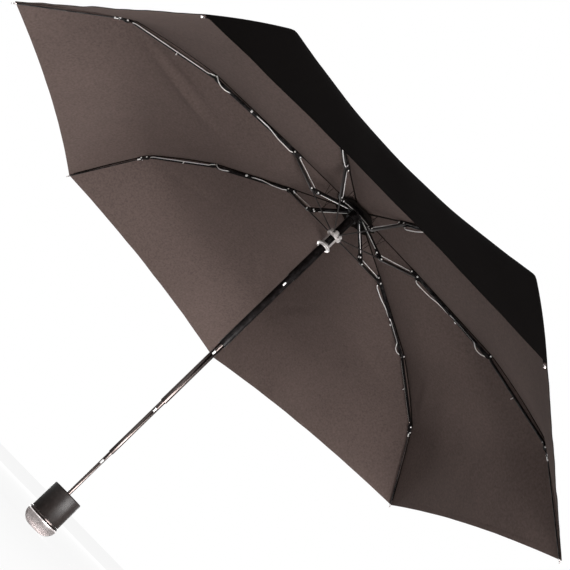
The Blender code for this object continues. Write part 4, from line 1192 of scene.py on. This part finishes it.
class UMBRELLA_OT_middle_ribs(bpy.types.Operator):
    """Lays the bright wire along each middle rib and sets the pin that guides it."""

    bl_idname = "umbrella.middle_ribs"
    bl_label = "Middle Rib Wires"

    def execute(self, context):
        links = context.scene.umbrella_links
        length, radius = links.middle_rib_length, links.middle_wire_radius
        beside = links.middle_half_width + WIRE_GAP + radius
        level = -links.middle_rib_depth - SET_IN
        # The wire starts clear of the knee's rivet, drops to the channel's mouth and ends at the heel.
        clear = beside + 0.9 * MM
        path = [(2.0 * MM, clear, -0.8 * MM), (8.0 * MM, clear, level + 0.9 * MM),
                (11.5 * MM, beside, level), (length - 10 * MM, beside, level),
                (length - 6 * MM, 0.5 * beside, level - 0.6 * MM)]
        wire = wire_mesh("middle_wire", rounded_path(path, 3 * MM, 5), radius)
        place = 0.45 * length
        post = [(place, 0.3 * beside, -1.0 * MM), (place, beside, level),
                (place, beside, level - links.wire_pin_length)]
        pin = wire_mesh("wire_pin", rounded_path(post, 1 * MM), links.wire_pin_radius)
        set_on_ribs("middle_rib", (("middle_wire", wire, "bright_steel"),
                                   ("wire_pin", pin, "bright_steel")))
        return {"FINISHED"}


def outer_bracket(links):
    """Forked bracket of the outer rib: two pressed walls that open onto the heel pin, and a web."""
    eye, end = links.eye_radius, links.bracket_length
    centre, half_height = links.outer_rib_rise, 1.1 * MM
    top, bottom = centre + half_height, centre - half_height
    half = links.half_width
    inner = half - links.sheet
    walls = [(-eye, -0.6 * eye, 0.6 * eye), (-0.6 * eye, -eye, eye), (0.6 * eye, -eye, top),
             (3 * eye, bottom, top), (end, bottom + 0.3 * MM, top)]
    bm = bmesh.new()
    for side in (-1, 1):
        bar(bm, [(x, box_corners(side * inner, side * half, low, high)) for x, low, high in walls])
    web = box_corners(-inner, inner, top - links.sheet, top)
    bar(bm, [(2.6 * eye, web), (end, web)])
    return mesh_from(bm, "outer_bracket", PRESSED_ANGLE)


class UMBRELLA_OT_outer_ribs(bpy.types.Operator):
    """Builds the outer ribs: forked bracket, bright ferrule, thin rod and the tip the cloth is sewn to."""

    bl_idname = "umbrella.outer_ribs"
    bl_label = "Outer Ribs"

    def execute(self, context):
        links = context.scene.umbrella_links
        rise, tip, radius = links.outer_rib_rise, links.outer_rib_length, links.outer_rod_radius
        root = links.bracket_length - 3 * MM
        lie = Matrix.Translation((0, 0, rise)) @ Matrix.Rotation(math.pi / 2, 4, "Y")
        path = [Vector((root, 0, rise)), Vector((tip - 1 * MM, 0, rise))]
        rod = wire_mesh("outer_rod", path, radius, 12)
        sleeve = radius + ROD_GAP
        end = root + links.ferrule_length
        profile = [(0.0, root), (sleeve, root), (sleeve, end - 0.4 * MM), (radius, end), (0.0, end)]
        ferrule = turned_mesh("ferrule", profile, lie, 16, TURNED_ANGLE)
        bead, stem = links.bead_radius, links.bead_stem_radius
        centre = tip + 0.7 * MM
        profile = [(0.0, tip - 4 * MM), (stem, tip - 4 * MM), (stem, tip - 2 * MM),
                   (stem - 0.2 * MM, tip - 1.2 * MM)]
        for step in range(2, 10):
            turn = math.pi * step / 10
            profile.append((bead * math.sin(turn), centre - bead * math.cos(turn)))
        profile.append((0.0, centre + bead))
        tip_bead = turned_mesh("tip_bead", profile, lie, 20, BEAD_ANGLE)
        set_on_ribs("outer_rib", (("outer_bracket", outer_bracket(links), "black_steel"),
                                  ("outer_rod", rod, "black_steel"),
                                  ("ferrule", ferrule, "bright_steel"),
                                  ("tip_bead", tip_bead, "chrome")), "outer_bracket")
        return {"FINISHED"}


class UMBRELLA_OT_rivets(bpy.types.Operator):
    """Sets the bright rivet heads on the rib links and on the crown's neck."""

    bl_idname = "umbrella.rivets"
    bl_label = "Rivets"

    def execute(self, context):
        links = context.scene.umbrella_links
        head = links.rivet_radius
        crown_ear = polar(links.crown_ear_offset, CROWN_EAR_SLOPE)
        crown_end = links.crown_link_length
        rib_ear = polar(links.rib_ear_offset, RIB_EAR_SLOPE)
        heads = {
            "crown_link": [(crown_end, 0.0), (crown_end + crown_ear.x, crown_ear.y)],
            "inner_rib": [(0.0, 0.0), tuple(rib_ear), (links.inner_rib_length, links.knee_height)],
            "outer_rib": [(0.0, 0.0), (BRACKET_RIVET, links.outer_rib_rise)],
        }
        for kind, places in heads.items():
            bm = bmesh.new()
            for x, z in places:
                rivet_pair(bm, x, z, links.half_width, head, links.rivet_height)
            mesh = mesh_from(bm, f"rivets_{kind}", ROUND_ANGLE)
            set_on_ribs(kind, ((f"rivets_{kind}", mesh, "bright_steel"),))
        azimuth = 0.5 * sum(rib_azimuth(number) for number in CROWN_RIVET_RIBS)
        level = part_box("crown")[1].z - links.crown_rivet_drop
        place = Matrix.Translation(in_space((links.crown_neck_radius, level), azimuth))
        lie = place @ Matrix.Rotation(azimuth, 4, "Z") @ Matrix.Rotation(math.pi / 2, 4, "Y")
        profile = [(0.0, -0.5 * MM), (head, -0.5 * MM), (head, 0.1 * MM), (0.6 * head, 0.5 * MM),
                   (0.0, 0.6 * MM)]
        dome = turned_mesh("crown_rivet", profile, Matrix.Identity(4), 16, ROUND_ANGLE)
        add_piece("crown_rivet", dome, "top_shaft", "bright_steel", matrix=lie)
        return {"FINISHED"}


class UMBRELLA_OT_painted_highlight_lines(bpy.types.Operator):
    """Lays a thin bright steel line along a lower corner of each crown link: a painted highlight that
    stands for the glint along the link.
    """

    bl_idname = "umbrella.worn_corners"
    bl_label = "Worn Corners"

    def execute(self, context):
        links = context.scene.umbrella_links
        # The bright line is a painted highlight laid along the link's lower corner.
        side = 0.1 * MM - links.half_width
        low = 0.05 * MM - links.crown_link_half_height
        end = links.crown_link_length - links.crown_ear_offset - 3 * links.eye_radius
        path = [Vector((4 * MM, side, low)), Vector((end, side, low))]
        line = wire_mesh("worn_corner", path, links.painted_highlight_radius, 8)
        set_on_ribs("crown_link", (("worn_corner", line, "bright_steel"),))
        return {"FINISHED"}


def smooth_group():
    """Shades faces smooth except across edges sharper than an angle."""
    group = bpy.data.node_groups.new("Smooth By Angle", "GeometryNodeTree")
    for in_out in ("INPUT", "OUTPUT"):
        group.interface.new_socket(name="Geometry", in_out=in_out, socket_type="NodeSocketGeometry")
    given = add_node(group, "NodeGroupInput").outputs[0]
    angle = add_node(group, "GeometryNodeInputMeshEdgeAngle").outputs["Unsigned Angle"]
    soft = add_node(group, "FunctionNodeCompare", data_type="FLOAT", operation="LESS_EQUAL")
    feed(group, soft.inputs["A"], angle)
    feed(group, soft.inputs["B"], math.radians(FRAME_SMOOTH_ANGLE))
    # The frame's own stored normals would keep every facet flat.
    clear = add_node(group, "GeometryNodeRemoveAttribute", {"Geometry": given})
    clear.inputs["Name"].default_value = "custom_normal"
    faces = add_node(group, "GeometryNodeSetShadeSmooth", {"Geometry": clear.outputs[0]}, domain="FACE")
    edges = add_node(group, "GeometryNodeSetShadeSmooth", {"Geometry": faces.outputs[0]}, domain="EDGE")
    feed(group, edges.inputs["Shade Smooth"], soft.outputs["Result"])
    feed(group, add_node(group, "NodeGroupOutput").inputs[0], edges.outputs[0])
    return group


class UMBRELLA_OT_frame_finishes(bpy.types.Operator):
    """Gives every shown CAD piece its finish and softens its edges."""

    bl_idname = "umbrella.frame_finishes"
    bl_label = "Frame Finishes"

    def execute(self, context):
        made = finishes()
        smoothing = smooth_group()
        for name, node in frame["nodes"].items():
            if node.hide_render:
                continue
            kind = name.rsplit("_", 1)[0]
            finish = FRAME_FINISHES.get(name, FRAME_FINISHES.get(kind, "bright_steel"))
            node.data.materials.clear()
            node.data.materials.append(made[finish])
            weld = node.modifiers.new("joined facets", "WELD")
            weld.merge_threshold = JOIN_DISTANCE
            edge = node.modifiers.new("softened edges", "BEVEL")
            edge.width = GRIP_EDGE if kind == "handle" else FRAME_EDGE
            edge.segments = 2
            edge.limit_method = "ANGLE"
            edge.angle_limit = math.radians(ROUNDED_ANGLE)
            edge.harden_normals = False
            smooth = node.modifiers.new("smooth shading", "NODES")
            smooth.node_group = smoothing
        return {"FINISHED"}


# ================================================================ studio
def backdrop_world(strength):
    """White behind the object for the camera and in reflections, an even grey light otherwise."""
    world = bpy.data.worlds.new("studio")
    world.use_nodes = True
    tree = world.node_tree
    tree.nodes.clear()
    seen = add_node(tree, "ShaderNodeBackground", {"Color": (1.0, 1.0, 1.0), "Strength": 1.0})
    light = add_node(tree, "ShaderNodeBackground", {"Color": (1.0, 0.985, 0.97), "Strength": strength})
    path = add_node(tree, "ShaderNodeLightPath").outputs
    share = math_node(tree, "MAXIMUM", path["Is Camera Ray"], path["Is Transmission Ray"])
    share = math_node(tree, "MAXIMUM", share, path["Is Glossy Ray"])
    mix = add_node(tree, "ShaderNodeMixShader", {0: share, 1: light.outputs[0], 2: seen.outputs[0]})
    add_node(tree, "ShaderNodeOutputWorld", {"Surface": mix.outputs[0]})
    return world


def floor_material(colour):
    """Pale floor that reads as white to the camera and still takes a shadow."""
    material, tree, shader = new_material("pale_floor")
    feed(tree, shader.inputs["Base Color"], colour)
    feed(tree, shader.inputs["Roughness"], 0.9)
    glow = add_node(tree, "ShaderNodeEmission", {"Color": (1.0, 1.0, 1.0), "Strength": 1.0})
    path = add_node(tree, "ShaderNodeLightPath").outputs
    share = math_node(tree, "MULTIPLY", path["Is Camera Ray"], FLOOR_WHITE)
    mix = add_node(tree, "ShaderNodeMixShader", {0: share, 1: shader.outputs[0], 2: glow.outputs[0]})
    feed(tree, tree.nodes["Material Output"].inputs["Surface"], mix.outputs[0])
    return material


def area_lamp(name, place, target, power, width, height):
    """A rectangular lamp that points at a target."""
    lamp = bpy.data.lights.new(name, "AREA")
    lamp.shape = "RECTANGLE"
    lamp.size = width
    lamp.size_y = height
    lamp.energy = power
    thing = new_object(name, lamp)
    thing.location = place
    thing.rotation_euler = (Vector(target) - Vector(place)).to_track_quat("-Z", "Y").to_euler()


class UMBRELLA_OT_stage(bpy.types.Operator):
    """Sets up the floor, the lamps, the white surroundings and the camera."""

    bl_idname = "umbrella.stage"
    bl_label = "Studio"

    def execute(self, context):
        scene = context.scene
        settings = scene.umbrella_stage
        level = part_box("handle_cap")[0].z - FLOOR_GAP
        bm = bmesh.new()
        bmesh.ops.create_grid(bm, x_segments=1, y_segments=1, size=FLOOR_HALF_WIDTH,
                              matrix=Matrix.Translation((0, 0, level)))
        mesh = bpy.data.meshes.new("floor")
        bm.to_mesh(mesh)
        bm.free()
        mesh.materials.append(floor_material(scene.umbrella_colours.floor))
        new_object("floor", mesh)
        for name, (place, target, width, height) in LAMPS.items():
            area_lamp(name, place, target, getattr(settings, f"{name}_power"), width, height)
        scene.world = backdrop_world(settings.sky_strength)
        lens = bpy.data.cameras.new("camera")
        lens.lens = settings.lens
        lens.sensor_width = 36.0
        lens.clip_start = 0.01
        camera = new_object("camera", lens)
        camera.location = settings.camera_place
        camera.rotation_euler = settings.camera_turn
        scene.camera = camera
        scene.view_settings.view_transform = "Standard"
        return {"FINISHED"}


class UMBRELLA_PT_dressing(bpy.types.Panel):
    """Lists the steps that dress the frame."""

    bl_label = "Umbrella"
    bl_idname = "UMBRELLA_PT_dressing"
    bl_space_type = "VIEW_3D"
    bl_region_type = "UI"
    bl_category = "Umbrella"

    def draw(self, context):
        for operator in OPERATORS:
            self.layout.operator(operator.bl_idname)
        for group in ("umbrella_cloth", "umbrella_links", "umbrella_colours", "umbrella_stage"):
            settings = getattr(context.scene, group)
            box = self.layout.box()
            box.label(text=group.replace("umbrella_", "").capitalize())
            for name in settings.__annotations__:
                box.prop(settings, name)


SETTINGS = {
    "umbrella_cloth": UmbrellaClothSettings,
    "umbrella_links": UmbrellaLinkSettings,
    "umbrella_colours": UmbrellaColourSettings,
    "umbrella_stage": UmbrellaStageSettings,
}
OPERATORS = (UMBRELLA_OT_canopy, UMBRELLA_OT_canopy_centre, UMBRELLA_OT_seams, UMBRELLA_OT_ties,
             UMBRELLA_OT_inner_ribs, UMBRELLA_OT_middle_ribs, UMBRELLA_OT_outer_ribs, UMBRELLA_OT_rivets,
             UMBRELLA_OT_painted_highlight_lines, UMBRELLA_OT_frame_finishes, UMBRELLA_OT_stage)


def register():
    for name, settings in SETTINGS.items():
        bpy.utils.register_class(settings)
        setattr(bpy.types.Scene, name, bpy.props.PointerProperty(type=settings))
    for operator in OPERATORS:
        bpy.utils.register_class(operator)
    bpy.utils.register_class(UMBRELLA_PT_dressing)


def unregister():
    bpy.utils.unregister_class(UMBRELLA_PT_dressing)
    for operator in reversed(OPERATORS):
        bpy.utils.unregister_class(operator)
    for name, settings in SETTINGS.items():
        delattr(bpy.types.Scene, name)
        bpy.utils.unregister_class(settings)


def main():
    register()
    bpy.ops.umbrella.canopy()
    bpy.ops.umbrella.canopy_centre()
    bpy.ops.umbrella.seams()
    bpy.ops.umbrella.ties()
    bpy.ops.umbrella.inner_ribs()
    bpy.ops.umbrella.middle_ribs()
    bpy.ops.umbrella.outer_ribs()
    bpy.ops.umbrella.rivets()
    bpy.ops.umbrella.worn_corners()
    bpy.ops.umbrella.frame_finishes()
    bpy.ops.umbrella.stage()


if __name__ == "__main__":
    main()
